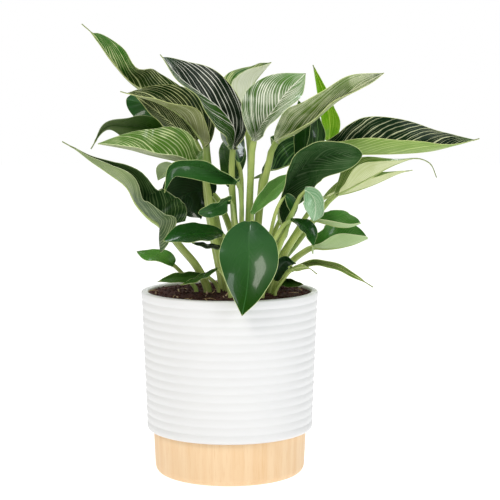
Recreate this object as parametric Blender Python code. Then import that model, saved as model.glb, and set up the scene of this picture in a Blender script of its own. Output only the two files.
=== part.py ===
# Birkin philodendron in a ribbed white ceramic pot on a turned wooden base.
# Metres, +Z up. The origin is on the pot's axis, on the underside of the wooden base,
# and -Y is the front. Every leaf is one piece with its stalk, from the stalk's foot in
# the soil to the blade's tip.

import bmesh
import bpy
import numpy as np

MM = 0.001
TOUCH_GAP = 0.0003
MERGE_DISTANCE = 0.00005
SHARP_ANGLE = np.radians(35)

# Pot
RIM_RADIUS = 0.0825
POT_TOP = 0.1705
POT_BOTTOM = 0.040
POT_FOOT_RADIUS = 0.073
POT_LOW_RADIUS = 0.0778
LIP_HEIGHT = 0.0078
LOW_BAND_HEIGHT = 0.0085
RIB_COUNT = 15
RIB_DEPTH = 0.0011
WALL_THICKNESS = 0.0062
FLOOR_THICKNESS = 0.008
INNER_CORNER = 0.004
LIP_ROUND_ACROSS = 0.0012
LIP_ROUND_DOWN = 0.0015
LIP_CROWN = 0.0003
BAND_STEP = 0.0012
POT_FOOT_CURVE = ((0.0040, 0.0035), (0.0020, 0.0006))   # out from the foot and up
POT_SEGMENTS = 36
POT_ROUGHNESS = 0.55

# Wooden base
WOOD_TOP_RADIUS = 0.0717
WOOD_LOW_RADIUS = 0.0703
WOOD_FOOT_RADIUS = 0.065
WOOD_TOP_EASE = 0.0008
WOOD_EDGE_CURVE = ((0, 0.008), (0.001, 0.003), (0.0028, 0.001))   # in from the wall and up
WOOD_SEGMENTS = 36
WOOD_ROUGHNESS = 0.5

# Soil
SOIL_EDGE_TOP = 0.1685
SOIL_MOUND = ((0, 0.0027), (0.35, 0.0023), (0.75, 0.0010))   # share of the radius and rise
SOIL_CORNER = 0.006
SOIL_ROUGHNESS = 0.95
HOLE_SIDES = 8
HOLE_ABOVE_RIM = 0.02

# Leaves
BLADE_THICKNESS = 0.8 * MM
RIB_THICKNESS = 1.6 * MM
LEAST_HALF_WIDTH = 1.2 * MM
STALK_FOOT = 0.156
STALK_UPRIGHT_TO = (0.168, 0.1725)
STALK_BASE_RADIUS = 1.3 * MM
STALK_PER_WIDTH = 0.028
STALK_TAPER = 0.25
BLADE_CUP = np.radians(6)
TIP_RADIUS = 0.6 * MM
FOLDED_FROM = 0.14
FOLDED_HALF_WIDTH = 4 * MM
LOBED_TO = 0.3
LOBE_HALF_WAY = 0.35
TOWARDS_VIEWER = (0, -1, 0.35)
UPWARDS = (0, 0.35, 1)
WIDE_LEAF = 30 * MM
WIDE_STATIONS = (0, 0.06, 0.16, 0.28, 0.42, 0.57, 0.72, 0.86, 0.95, 1)
SMALL_STATIONS = (0, 0.1, 0.3, 0.52, 0.75, 0.92, 1)
WIDE_STALK_RINGS = 4
SMALL_STALK_RINGS = 3
PATH_POINTS = 600
LEAF_ROUGHNESS = 0.4

# The ten points round a stalk, as angles from its right-hand side. The first five run
# from left to right over the face, like the blade's own, and the rest run back below.
RING_ANGLES = np.radians([165, 125, 90, 55, 15, -15, -55, -90, -125, -165])
RING_SIZE = len(RING_ANGLES)
FACE_POINTS = 5

POT_COLOR = (0.86, 0.86, 0.85)
WOOD_COLOR = (0.86, 0.66, 0.42)
SOIL_COLOR = (0.05, 0.02, 0.015)
LEAF_COLORS = {
    "striped_leaf": (0.05, 0.13, 0.04),
    "cream_leaf": (0.42, 0.50, 0.28),
    "green_leaf": (0.04, 0.16, 0.02),
    "pale_leaf": (0.40, 0.52, 0.30),
    "lime_leaf": (0.28, 0.55, 0.03),
}


def clear_scene():
    for item in list(bpy.data.objects):
        bpy.data.objects.remove(item)


def principled(name, color, roughness):
    material = bpy.data.materials.new(name)
    material.use_nodes = True
    shader = material.node_tree.nodes["Principled BSDF"]
    shader.inputs["Base Color"].default_value = (*color, 1)
    shader.inputs["Roughness"].default_value = roughness
    shader.inputs["Metallic"].default_value = 0
    return material


def add_object(name, mesh, material):
    item = bpy.data.objects.new(name, mesh)
    bpy.context.scene.collection.objects.link(item)
    if material:
        mesh.materials.append(material)
    mesh.shade_smooth()
    mesh.set_sharp_from_angle(angle=SHARP_ANGLE)
    return item


def add_turned(name, profile, segments, material):
    """A closed body turned from a profile that runs outwards over the top and back below."""
    mesh = bpy.data.meshes.new(name)
    edges = [(i, i + 1) for i in range(len(profile) - 1)]
    mesh.from_pydata([(radius, 0, z) for radius, z in profile], edges, [])
    item = add_object(name, mesh, material)
    screw = item.modifiers.new("turn", "SCREW")
    screw.steps = segments
    screw.render_steps = segments
    screw.use_merge_vertices = True
    screw.merge_threshold = MERGE_DISTANCE
    screw.use_smooth_shade = True
    return item


def outer_radius(z):
    """The pot's outer wall between its two plain bands, without its ribs."""
    low = POT_BOTTOM + LOW_BAND_HEIGHT
    return POT_LOW_RADIUS + (RIM_RADIUS - POT_LOW_RADIUS) * (z - low) / (POT_TOP - low)


def inner_radius(z):
    return outer_radius(z) - WALL_THICKNESS


def ribs():
    """Shallow rounded ribs down the wall: a crest and a groove for each."""
    top = POT_TOP - LIP_HEIGHT
    bottom = POT_BOTTOM + LOW_BAND_HEIGHT
    pitch = (top - bottom) / RIB_COUNT
    points = []
    for i in range(RIB_COUNT):
        groove = top - pitch * i
        crest = groove - pitch / 2
        points.append((outer_radius(groove) - RIB_DEPTH, groove))
        points.append((outer_radius(crest), crest))
    points.append((outer_radius(bottom) - RIB_DEPTH, bottom))
    return points


def add_pot():
    floor = POT_BOTTOM + FLOOR_THICKNESS
    lip_inside = inner_radius(POT_TOP)
    profile = [
        (0, floor),
        (inner_radius(floor) - INNER_CORNER, floor),
        (inner_radius(floor + INNER_CORNER), floor + INNER_CORNER),
        (lip_inside, POT_TOP - LIP_ROUND_DOWN),
        (lip_inside + LIP_ROUND_ACROSS, POT_TOP - LIP_CROWN),
        (lip_inside + WALL_THICKNESS / 2, POT_TOP),
        (RIM_RADIUS - LIP_ROUND_ACROSS, POT_TOP - LIP_CROWN),
        (RIM_RADIUS, POT_TOP - LIP_ROUND_DOWN),
        (RIM_RADIUS, POT_TOP - LIP_HEIGHT + BAND_STEP),
        *ribs(),
        (POT_LOW_RADIUS, POT_BOTTOM + LOW_BAND_HEIGHT - BAND_STEP),
        *[(POT_FOOT_RADIUS + out, POT_BOTTOM + up) for out, up in POT_FOOT_CURVE],
        (POT_FOOT_RADIUS, POT_BOTTOM),
        (0, POT_BOTTOM),
    ]
    ceramic = principled("white_ceramic", POT_COLOR, POT_ROUGHNESS)
    return add_turned("pot", profile, POT_SEGMENTS, ceramic)


def add_wood_base():
    top = POT_BOTTOM - TOUCH_GAP
    profile = [
        (0, top),
        (WOOD_TOP_RADIUS - WOOD_TOP_EASE, top),
        (WOOD_TOP_RADIUS, top - WOOD_TOP_EASE),
        *[(WOOD_LOW_RADIUS - inwards, up) for inwards, up in WOOD_EDGE_CURVE],
        (WOOD_FOOT_RADIUS, 0),
        (0, 0),
    ]
    wood = principled("light_wood", WOOD_COLOR, WOOD_ROUGHNESS)
    return add_turned("wood_base", profile, WOOD_SEGMENTS, wood)


def stalk_radius(width):
    return STALK_BASE_RADIUS + STALK_PER_WIDTH * width


def add_root_holes(leaves):
    """Plain upright holes for the stalks' feet, as one hidden cutter."""
    form = bmesh.new()
    bottom = STALK_FOOT - TOUCH_GAP
    height = POT_TOP + HOLE_ABOVE_RIM - bottom
    for leaf in leaves:
        x, y = leaf["foot"]
        clear = stalk_radius(leaf["width"]) * (1 + STALK_TAPER) + TOUCH_GAP
        radius = clear / np.cos(np.pi / HOLE_SIDES)
        hole = bmesh.ops.create_cone(
            form, cap_ends=True, segments=HOLE_SIDES, depth=height, radius1=radius, radius2=radius,
        )
        bmesh.ops.translate(form, verts=hole["verts"], vec=(x, y, bottom + height / 2))
    mesh = bpy.data.meshes.new("root_holes")
    form.to_mesh(mesh)
    form.free()
    cutter = add_object("root_holes", mesh, None)
    cutter.hide_render = True
    cutter.display_type = "WIRE"
    return cutter


def add_soil(leaves):
    floor = POT_BOTTOM + FLOOR_THICKNESS + TOUCH_GAP
    edge = inner_radius(SOIL_EDGE_TOP) - TOUCH_GAP
    profile = [
        *[(edge * share, SOIL_EDGE_TOP + rise) for share, rise in SOIL_MOUND],
        (edge, SOIL_EDGE_TOP),
        (inner_radius(floor + SOIL_CORNER) - TOUCH_GAP, floor + SOIL_CORNER),
        (inner_radius(floor) - SOIL_CORNER, floor),
        (0, floor),
    ]
    soil = add_turned("soil", profile, POT_SEGMENTS, principled("potting_soil", SOIL_COLOR, SOIL_ROUGHNESS))
    cut = soil.modifiers.new("root_holes", "BOOLEAN")
    cut.operation = "DIFFERENCE"
    cut.use_self = True
    cut.object = add_root_holes(leaves)
    return soil


def unit(vectors):
    return vectors / np.linalg.norm(vectors, axis=-1, keepdims=True)


def smooth_path(points):
    """A dense Catmull-Rom curve through the points, spaced by the root of their distance."""
    ends = np.vstack([2 * points[0] - points[1], points, 2 * points[-1] - points[-2]])
    steps = np.sqrt(np.linalg.norm(np.diff(points, axis=0), axis=1))
    steps = np.concatenate([steps[:1], steps, steps[-1:]])
    times = np.concatenate([[0], np.cumsum(steps)]) - steps[0]
    path = []
    for t in np.linspace(0, times[-2], PATH_POINTS):
        i = min(max(np.searchsorted(times, t, side="right") - 2, 0), len(points) - 2)
        t0, t1, t2, t3 = times[i:i + 4]
        p0, p1, p2, p3 = ends[i:i + 4]
        a1 = ((t1 - t) * p0 + (t - t0) * p1) / (t1 - t0)
        a2 = ((t2 - t) * p1 + (t - t1) * p2) / (t2 - t1)
        a3 = ((t3 - t) * p2 + (t - t2) * p3) / (t3 - t2)
        b1 = ((t2 - t) * a1 + (t - t0) * a2) / (t2 - t0)
        b2 = ((t3 - t) * a2 + (t - t1) * a3) / (t3 - t1)
        path.append(((t2 - t) * b1 + (t - t1) * b2) / (t2 - t1))
    return np.array(path)


def along(values, distances, at):
    return np.stack([np.interp(at, distances, column) for column in values.T], -1)


def blade_outline(u, broadest, base, tip):
    """Half width over its largest value: it rises from the stalk and falls to the tip."""
    rise = np.sin(np.pi / 2 * np.clip(u / broadest, 0, 1)) ** base
    fall = np.cos(np.pi / 2 * np.clip((u - broadest) / (1 - broadest), 0, 1))
    return rise * np.maximum(fall, 0) ** tip


def eased(values, u):
    """Evenly spaced values along the blade, joined by smooth steps."""
    place = u * (len(values) - 1)
    first = np.minimum(place.astype(int), len(values) - 2)
    step = place - first
    step = step * step * (3 - 2 * step)
    values = np.array(values, float)
    return values[first] * (1 - step) + values[first + 1] * step


def half_blade(side, fold, across, normal, half_width):
    """Two points of one half of a blade's face, half way and at the margin, with normals."""
    points, normals = [], []
    reach = np.zeros(3)
    for angle in (fold - BLADE_CUP, fold + BLADE_CUP):
        reach = reach + half_width / 2 * (side * across * np.cos(angle) + normal * np.sin(angle))
        points.append(reach)
        normals.append(normal * np.cos(angle) - side * across * np.sin(angle))
    return points, normals


def blade_ring(middle, across, normal, half_width, left_fold, right_fold, lobe):
    """Five points over the face and five back below. lobe draws the margins towards the stalk."""
    left, left_normals = half_blade(-1, left_fold, across, normal, half_width)
    right, right_normals = half_blade(1, right_fold, across, normal, half_width)
    inner = middle + lobe * LOBE_HALF_WAY
    outer = middle + lobe
    face = [outer + left[1], inner + left[0], middle, inner + right[0], outer + right[1]]
    normals = [
        left_normals[1],
        unit(left_normals[0] + left_normals[1]),
        unit(left_normals[0] + right_normals[0]),
        unit(right_normals[0] + right_normals[1]),
        right_normals[1],
    ]
    depths = [BLADE_THICKNESS, BLADE_THICKNESS, RIB_THICKNESS, BLADE_THICKNESS, BLADE_THICKNESS]
    back = [point - n * depth for point, n, depth in zip(face, normals, depths)]
    return face + back[::-1]


def stalk_ring(middle, across, normal, radius):
    return [middle + radius * (across * np.cos(a) + normal * np.sin(a)) for a in RING_ANGLES]


def leaf_rings(leaf):
    rib = np.array(leaf["rib"], float) * MM
    stalk = np.array(leaf["stalk"], float).reshape(-1, 3) * MM
    foot = np.array([[*leaf["foot"], z] for z in (STALK_FOOT, *STALK_UPRIGHT_TO)])
    path = smooth_path(np.vstack([foot, stalk, rib]))
    distances = np.concatenate([[0], np.cumsum(np.linalg.norm(np.diff(path, axis=0), axis=1))])
    tangents = np.stack([np.gradient(column, distances) for column in path.T], -1)
    joint = distances[np.linalg.norm(path - rib[0], axis=1).argmin()]

    wide = leaf["width"] > WIDE_LEAF
    u = np.array(WIDE_STATIONS if wide else SMALL_STATIONS)
    at = joint + u * (distances[-1] - joint)
    middles = along(path, distances, at)
    heads = unit(along(tangents, distances, at))
    facing = np.array(leaf["facing"], float)
    normals = unit(facing - (heads @ facing)[:, None] * heads)
    acrosses = np.cross(heads, normals)
    bladed = np.minimum(u / (1 - leaf["drip"]), 1)
    outline = blade_outline(bladed, leaf["broadest"], leaf["base"], leaf["tip"])
    half_widths = np.maximum(leaf["width"] / 2 * outline, LEAST_HALF_WIDTH)
    fold = eased((0, 1), np.minimum(u / FOLDED_FROM, 1))
    fold = np.minimum(fold, np.minimum(half_widths / FOLDED_HALF_WIDTH, 1))
    left = fold * np.radians(eased(leaf["left"], u))
    right = fold * np.radians(eased(leaf["right"], u))
    radius = stalk_radius(leaf["width"])

    lobes = leaf["lobe"] * np.maximum(1 - u / LOBED_TO, 0) ** 2
    rings = [stalk_ring(middles[0], acrosses[0], normals[0], radius)]
    for i in range(1, len(u) - 1):
        rings.append(blade_ring(middles[i], acrosses[i], normals[i], half_widths[i], left[i], right[i],
                                -lobes[i] * heads[i]))
    rings.append(stalk_ring(middles[-1], acrosses[-1], normals[-1], TIP_RADIUS))

    collar = STALK_UPRIGHT_TO[-1] - STALK_FOOT
    count = WIDE_STALK_RINGS if wide else SMALL_STALK_RINGS
    across = acrosses[0]
    for at in [*np.linspace(joint, collar, count + 1)[1:], 0]:
        middle = along(path, distances, at)
        head = unit(along(tangents, distances, at))
        across = unit(across - (across @ head) * head)
        thick = radius * (1 + STALK_TAPER * (1 - at / joint))
        rings.insert(0, stalk_ring(middle, across, np.cross(across, head), thick))
    return rings


def ring_faces(count):
    """Triangles between rings. Face and underside are split along the same diagonals."""
    faces = []
    for k in range(count - 1):
        for j in range(RING_SIZE):
            a = k * RING_SIZE + j
            b = k * RING_SIZE + (j + 1) % RING_SIZE
            c, d = a + RING_SIZE, b + RING_SIZE
            on_face = j < FACE_POINTS or j == RING_SIZE - 1
            faces += [(a, b, c), (b, d, c)] if on_face else [(a, b, d), (a, d, c)]
    last = (count - 1) * RING_SIZE
    for j in range(1, RING_SIZE - 1):
        faces += [(0, j + 1, j), (last, last + j, last + j + 1)]
    return faces


def add_leaf(leaf, materials):
    rings = leaf_rings(leaf)
    mesh = bpy.data.meshes.new(leaf["name"])
    mesh.from_pydata([tuple(point) for point in np.vstack(rings)], [], ring_faces(len(rings)))
    return add_object(leaf["name"], mesh, materials[leaf["kind"]])


def leaf(name, kind, foot, stalk, rib, width, outline, left, right, facing=TOWARDS_VIEWER,
         drip=0.0, lobe=0):
    """One leaf in whole millimetres and degrees.

    foot is where its stalk enters the soil, stalk holds the points on the way up, and rib
    runs along the midrib from the blade's base to its tip. outline gives where the blade is
    broadest along its length, how full its base is and how drawn out its tip is. left and
    right are how far each half is folded up from the midrib, evenly spaced from base to tip.
    drip is the share of the blade's length drawn out to a thread, and lobe is how far its
    base lobes reach back.
    """
    broadest, base, tip = outline
    return {
        "name": "leaf_" + name, "kind": kind + "_leaf",
        "foot": (foot[0] * MM, foot[1] * MM), "stalk": stalk, "rib": rib,
        "width": width * MM, "broadest": broadest, "base": base, "tip": tip,
        "left": left, "right": right, "facing": facing,
        "drip": drip, "lobe": lobe * MM,
    }


def left_leaves():
    return [
        leaf("top_left", "striped", (-2, 27), [(-15, 36, 238), (-23, 36, 300)],
             [(-26, 36, 321), (-59, 35, 340), (-90, 27, 361), (-105, 21, 378), (-126, 18, 407),
              (-138, 20, 418)],
             50, (0.31, 0.5, 0.6), (80, 80, 80, 80, 75, 60), (-15, 0, 5, 60, 5, 10), drip=0.09),
        leaf("upper_left", "striped", (-7, 2), [(-19, 4, 240), (-23, 5, 284)],
             [(-22, 4, 303), (-29, -2, 316), (-42, -8, 331), (-63, -14, 344), (-99, -20, 355)],
             57, (0.38, 0.9, 1.0), (105, 105, 80, 75), (45, -10, -15, -5), drip=0.06),
        leaf("left_under", "striped", (0, 10), [(-16, 12, 235), (-24, 12, 287)],
             [(-31, 7, 309), (-48, 2, 321), (-66, -1, 336), (-86, -6, 351)],
             30, (0.42, 0.4, 1.2), (55, 50, 35), (-5, -25, 5)),
        leaf("left_back", "green", (1, 36), [(-13, 44, 233), (-21, 49, 290)],
             [(-26, 48, 319), (-54, 56, 332), (-79, 60, 343), (-100, 58, 348)],
             46, (0.55, 0.5, 0.5), (-10, 25, -25), (-25, -40, -35)),
        leaf("left_droop", "green", (2, 19), [(-17, 29, 239), (-32, 32, 298)],
             [(-41, 30, 313), (-67, 24, 319), (-93, 15, 322), (-115, 8, 322), (-129, 4, 302)],
             40, (0.3, 0.3, 1.4), (50, 15, 70), (95, 70, 80), drip=0.04),
        leaf("left_pale", "cream", (-3, -10), [(-16, -12, 232), (-21, -10, 270)],
             [(-29, -10, 287), (-42, -14, 291), (-72, -27, 298), (-90, -33, 303), (-118, -38, 308)],
             59, (0.25, 0.4, 0.9), (75, 80, 85), (75, -10, -20)),
        leaf("left_shade", "green", (10, 19), [(2, 20, 220), (-9, 18, 249)],
             [(-15, 20, 259), (-26, 17, 262), (-39, 13, 260), (-51, 10, 251), (-59, 8, 240)],
             56, (0.45, 0.5, 0.9), (0, 0, 0), (0, -10, -20)),
        leaf("far_left", "green", (-20, -15), [(-30, -22, 195), (-45, -28, 214)],
             [(-60, -33, 233), (-72, -36, 241), (-84, -38, 254), (-92, -40, 269), (-109, -41, 282),
              (-125, -41, 293), (-138, -40, 303), (-150, -39, 310)],
             70, (0.2, 0.2, 2.2), (100, 100, 105, 110, 115), (35, 45, 60, 60, 60), lobe=14),
        leaf("centre_left_arch", "green", (10, -14), [(11, -16, 219), (11, -16, 256)],
             [(8, -18, 272), (-14, -30, 282), (-35, -42, 288), (-51, -50, 285), (-57, -58, 265)],
             26, (0.43, 0.4, 1.1), (30, 10, -50), (110, 80, 70)),
        leaf("centre_left_small", "green", (8, -27), [(7, -30, 216), (4, -30, 244)],
             [(2, -34, 257), (-10, -44, 251), (-20, -52, 248), (-27, -56, 247)],
             17, (0.43, 0.3, 0.6), (-70, 10, -40), (80, 75, 40)),
        leaf("low_left", "green", (4, -38), [(2, -38, 201), (-2, -40, 215)],
             [(-5, -48, 227), (-24, -63, 229), (-41, -73, 228), (-57, -80, 224)],
             28, (0.53, 0.6, 0.9), (40, 45, 35), (-20, -25, -10)),
        leaf("low_left_thin", "green", (2, -46), [(-1, -46, 199)],
             [(-4, -46, 213), (-19, -52, 217), (-33, -56, 220)],
             10, (0.43, 0.5, 1.0), (50, 50, 35), (-40, -50, -20)),
        leaf("small_left", "green", (-31, -12), [(-43, -16, 187)],
             [(-51, -20, 196), (-63, -26, 204), (-75, -30, 207), (-84, -34, 210)],
             19, (0.43, 0.4, 0.8), (60, 50, -15), (35, -35, -50)),
        leaf("soil_left", "green", (-10, -18), [(-15, -24, 182)],
             [(-22, -27, 187), (-36, -32, 187), (-51, -36, 186), (-65, -39, 183)],
             12, (0.48, 0.6, 1.1), (30, 20, 5), (55, 60, 35)),
        leaf("soil_left_front", "pale", (1, -50), [(-4, -50, 189)],
             [(-10, -51, 196), (-20, -55, 192), (-31, -60, 187), (-43, -64, 183)],
             10, (0.39, 0.5, 1.1), (45, 45, 35), (-60, -50, -30)),
    ]


def centre_leaves():
    return [
        leaf("front_heart", "green", (14, -32), [(14, -40, 212), (16, -46, 232)],
             [(19, -50, 239), (18, -70, 224), (18, -85, 204), (16, -94, 181), (12, -97, 160)],
             54, (0.46, 0.9, 1.0), (25, 15, 20), (25, 15, 20), lobe=1),
        leaf("top_centre", "striped", (10, 0), [(4, 2, 241), (2, 2, 283)],
             [(3, 0, 301), (5, -6, 319), (-5, -12, 336), (-23, -18, 351), (-44, -24, 367),
              (-62, -28, 388)],
             53, (0.48, 0.6, 0.7), (75, 40, 65, 70), (70, 60, 20, -15), drip=0.03),
        leaf("top_back", "cream", (20, 42), [(19, 50, 242), (19, 51, 300)],
             [(15, 46, 330), (15, 46, 349), (22, 44, 363), (39, 34, 383)],
             54, (0.42, 0.7, 1.2), (35, 20, -40, -15), (115, 120, 120, 115)),
        leaf("centre_cup", "cream", (16, -8), [(18, -10, 237), (20, -12, 283)],
             [(22, -14, 309), (29, -20, 324), (40, -26, 338), (52, -30, 354), (69, -32, 371)],
             61, (0.44, 0.9, 1.0), (90, 20, 5), (60, 65, 10)),
        leaf("mid_green", "green", (19, -22), [(21, -21, 210), (22, -21, 229)],
             [(21, -22, 243), (31, -20, 256), (44, -14, 268), (58, -10, 280)],
             20, (0.52, 0.5, 1.0), (65, 50, 20), (45, 35, 20)),
        leaf("back_centre", "green", (12, 27), [(7, 29, 220), (3, 30, 248)],
             [(1, 32, 264), (2, 46, 279), (2, 70, 297), (3, 96, 306), (4, 116, 296)],
             28, (0.38, 0.5, 1.0), (25, 20, 10), (25, 20, 10), facing=UPWARDS),
        leaf("back_left", "green", (-2, 46), [(-17, 53, 214), (-23, 55, 243)],
             [(-28, 57, 258), (-37, 64, 270), (-52, 77, 276), (-64, 90, 277), (-73, 100, 268)],
             44, (0.38, 0.5, 1.0), (25, 20, 10), (25, 20, 10), facing=UPWARDS),
        leaf("back_high", "striped", (11, 10), [(11, 12, 240), (11, 13, 273)],
             [(9, 16, 289), (4, 32, 301), (0, 56, 315), (-3, 84, 322), (-4, 106, 314)],
             24, (0.38, 0.5, 1.0), (25, 20, 10), (25, 20, 10), facing=UPWARDS),
        leaf("back_right", "striped", (19, 14), [(26, 16, 230), (29, 18, 258)],
             [(32, 24, 277), (47, 46, 281), (64, 56, 287), (81, 58, 294), (95, 56, 301)],
             66, (0.4, 0.9, 0.9), (50, 15, 20), (-100, -110, -100)),
    ]


def right_leaves():
    return [
        leaf("right_twist", "cream", (24, -2), [(28, -2, 246), (36, -5, 287)],
             [(42, -8, 308), (61, -13, 318), (75, -15, 327), (99, -14, 347), (116, -11, 358),
              (142, -6, 372)],
             62, (0.3, 0.9, 1.1), (45, 70, 35), (75, 80, 50)),
        leaf("new_lime", "lime", (31, 40), [(57, 40, 238), (84, 32, 286)],
             [(93, 26, 308), (94, 24, 330), (88, 24, 355), (78, 24, 380)],
             22, (0.29, 0.5, 1.2), (45, 40, 5), (5, 65, 75)),
        leaf("far_right", "striped", (29, -12), [(51, -11, 232), (73, -8, 278)],
             [(85, -8, 300), (106, -14, 299), (153, -20, 299), (184, -18, 301), (207, -14, 306),
              (230, -10, 312)],
             70, (0.3, 0.8, 1.0), (60, 25, 10), (95, 95, 75), drip=0.03),
        leaf("right_thread", "pale", (30, 16), [(62, 18, 211), (87, 16, 245)],
             [(98, 14, 258), (112, 15, 265), (135, 16, 277), (157, 16, 288), (175, 15, 293),
              (188, 14, 288), (194, 12, 275)],
             45, (0.33, 1.1, 1.2), (10, 0, -50, -60), (95, 120, 90, 65), drip=0.27),
        leaf("right_low", "pale", (32, 30), [(57, 36, 212), (78, 36, 244)],
             [(88, 36, 254), (116, 40, 260), (137, 39, 267), (162, 37, 278), (174, 36, 281)],
             35, (0.36, 1.1, 1.5), (-10, -10, -40), (95, 105, 115)),
        leaf("right_arch", "green", (26, -27), [(36, -25, 205), (48, -23, 220)],
             [(52, -21, 229), (47, -19, 237), (46, -19, 247), (51, -18, 261), (61, -21, 278),
              (73, -29, 290), (87, -40, 297), (102, -49, 299), (119, -53, 299)],
             60, (0.6, 0.9, 0.5), (90, 90, 75), (40, 25, 20)),
        leaf("right_hanging", "green", (30, -38), [(38, -36, 228), (44, -35, 250)],
             [(51, -35, 261), (57, -35, 253), (59, -36, 242)],
             11, (0.44, 0.4, 1.1), (15, 10, 20), (30, 30, 25)),
        leaf("right_mint", "pale", (30, -46), [(50, -44, 226), (60, -42, 252)],
             [(68, -44, 266), (76, -46, 260), (78, -47, 249), (76, -45, 238)],
             24, (0.42, 0.5, 0.9), (65, 55, -5), (30, 20, 25)),
        leaf("right_small", "green", (36, -18), [(56, -22, 214), (68, -25, 231)],
             [(77, -34, 239), (88, -38, 236), (100, -40, 233), (110, -40, 233), (119, -38, 236)],
             31, (0.55, 0.6, 0.45), (5, 10, 20), (85, 90, 85)),
        leaf("right_pale", "pale", (40, 2), [(59, 0, 198), (69, -1, 206)],
             [(77, -3, 211), (88, -6, 210), (101, -8, 211), (115, -8, 214), (128, -6, 219)],
             54, (0.6, 0.4, 0.45), (40, 0, 0), (80, 105, 90)),
        leaf("right_dark", "green", (24, -44), [(37, -46, 213), (47, -46, 232)],
             [(55, -48, 240), (66, -54, 236), (73, -56, 228), (76, -56, 216)],
             18, (0.52, 0.6, 1.1), (-45, -15, -35), (60, 50, 50)),
        leaf("back_fold", "green", (24, 20), [(43, 20, 225), (59, 20, 258)],
             [(65, 22, 280), (70, 28, 300), (71, 32, 323), (65, 34, 347)],
             22, (0.45, 0.5, 0.8), (30, 20, -15), (-25, 35, 55)),
        leaf("back_striped", "striped", (27, 8), [(52, 10, 231), (68, 12, 261)],
             [(74, 12, 278), (80, 14, 299), (83, 18, 319), (79, 22, 342)],
             19, (0.46, 0.4, 1.0), (30, 25, -15), (20, 45, 70)),
        leaf("low_right", "pale", (38, -12), [(47, -14, 183)],
             [(56, -16, 191), (76, -22, 198), (94, -28, 197), (112, -34, 189), (131, -40, 178)],
             16, (0.35, 0.4, 1.0), (90, 80, 45), (60, 55, 10), drip=0.1),
        leaf("low_right_curl", "pale", (42, -32), [(50, -32, 185)],
             [(57, -33, 193), (66, -36, 196), (73, -39, 195), (80, -41, 190)],
             7, (0.3, 0.4, 1.0), (-30, -25, -10), (-30, -25, 10), drip=0.3),
        leaf("low_right_dark", "green", (40, -26), [],
             [(43, -28, 182), (45, -31, 194), (52, -33, 201), (61, -35, 199)],
             15, (0.55, 0.5, 1.0), (50, 45, 80), (35, 5, -45)),
        leaf("soil_right", "green", (36, 22), [],
             [(43, 20, 176), (52, 15, 177), (61, 9, 176), (69, 5, 175)],
             14, (0.35, 0.4, 1.0), (65, 80, 65), (50, 25, -20)),
    ]


def main():
    clear_scene()
    leaves = left_leaves() + centre_leaves() + right_leaves()
    add_pot()
    add_wood_base()
    add_soil(leaves)
    materials = {kind: principled(kind, color, LEAF_ROUGHNESS) for kind, color in LEAF_COLORS.items()}
    for item in leaves:
        add_leaf(item, materials)


main()
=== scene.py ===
import math
from functools import partial

import bpy
import numpy as np
from mathutils import Euler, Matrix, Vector, noise


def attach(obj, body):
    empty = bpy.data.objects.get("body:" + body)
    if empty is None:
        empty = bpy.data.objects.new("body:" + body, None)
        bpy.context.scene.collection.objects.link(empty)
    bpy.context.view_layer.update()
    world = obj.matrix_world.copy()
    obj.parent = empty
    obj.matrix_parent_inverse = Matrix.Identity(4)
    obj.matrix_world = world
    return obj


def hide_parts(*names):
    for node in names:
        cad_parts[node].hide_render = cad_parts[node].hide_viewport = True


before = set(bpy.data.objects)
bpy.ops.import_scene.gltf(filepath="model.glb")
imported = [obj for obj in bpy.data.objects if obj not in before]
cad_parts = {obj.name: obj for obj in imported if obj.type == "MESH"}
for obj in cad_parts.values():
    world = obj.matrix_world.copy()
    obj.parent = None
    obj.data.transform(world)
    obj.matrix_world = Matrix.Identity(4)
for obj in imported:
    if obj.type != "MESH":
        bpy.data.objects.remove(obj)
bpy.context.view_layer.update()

mm = 0.001
bodyName = "root"   # the plant has no joints, so all of it rides on one body


# small helpers

def hexColor(code):
    # sRGB hex to the linear colour that a shader wants
    channels = [int(code[i:i + 2], 16) / 255 for i in (1, 3, 5)]
    linear = [c / 12.92 if c <= 0.04045 else ((c + 0.055) / 1.055) ** 2.4 for c in channels]
    return (*linear, 1.0)


def addNode(tree, kind, inputs=(), out=0, **settings):
    # adds one node, sets it, feeds its inputs and gives back one of its outputs
    node = tree.nodes.new("ShaderNode" + kind)
    for name, value in settings.items():
        setattr(node, name, value)
    for socket, value in (inputs.items() if isinstance(inputs, dict) else enumerate(inputs)):
        if isinstance(value, bpy.types.NodeSocket):
            tree.links.new(value, node.inputs[socket])
        else:
            node.inputs[socket].default_value = value
    return node.outputs[out] if len(node.outputs) else node


colorMix = {"data_type": "RGBA", "out": 2}          # a Mix node for colours: 0 factor, 6 and 7 colours
smoothStep = {"interpolation_type": "SMOOTHSTEP"}   # a Map Range node without hard ends


def newMaterial(name):
    # an empty material, with the function that adds a node to it
    material = bpy.data.materials.new(name)
    material.use_nodes = True
    material.node_tree.nodes.clear()
    return material, partial(addNode, material.node_tree)


def deselectAll():
    if bpy.context.object and bpy.context.object.mode != "OBJECT":
        bpy.ops.object.mode_set(mode="OBJECT")
    bpy.ops.object.select_all(action="DESELECT")


def linked(name, data):
    item = bpy.data.objects.new(name, data)
    bpy.context.scene.collection.objects.link(item)
    return item


def settle(piece, nodes=()):
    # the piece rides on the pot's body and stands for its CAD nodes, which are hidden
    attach(piece, bodyName)
    if nodes:
        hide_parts(*nodes)


# camera, at the photograph's viewing angle

cameraSet = {
    "place": (0.019, -1.346, 0.343),
    "pitchDown": 0.10,     # radians below level
    "lens": 104.33, "sensor": 36,      # mm
    "nearest": 0.05, "farthest": 40,   # m
}


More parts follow.
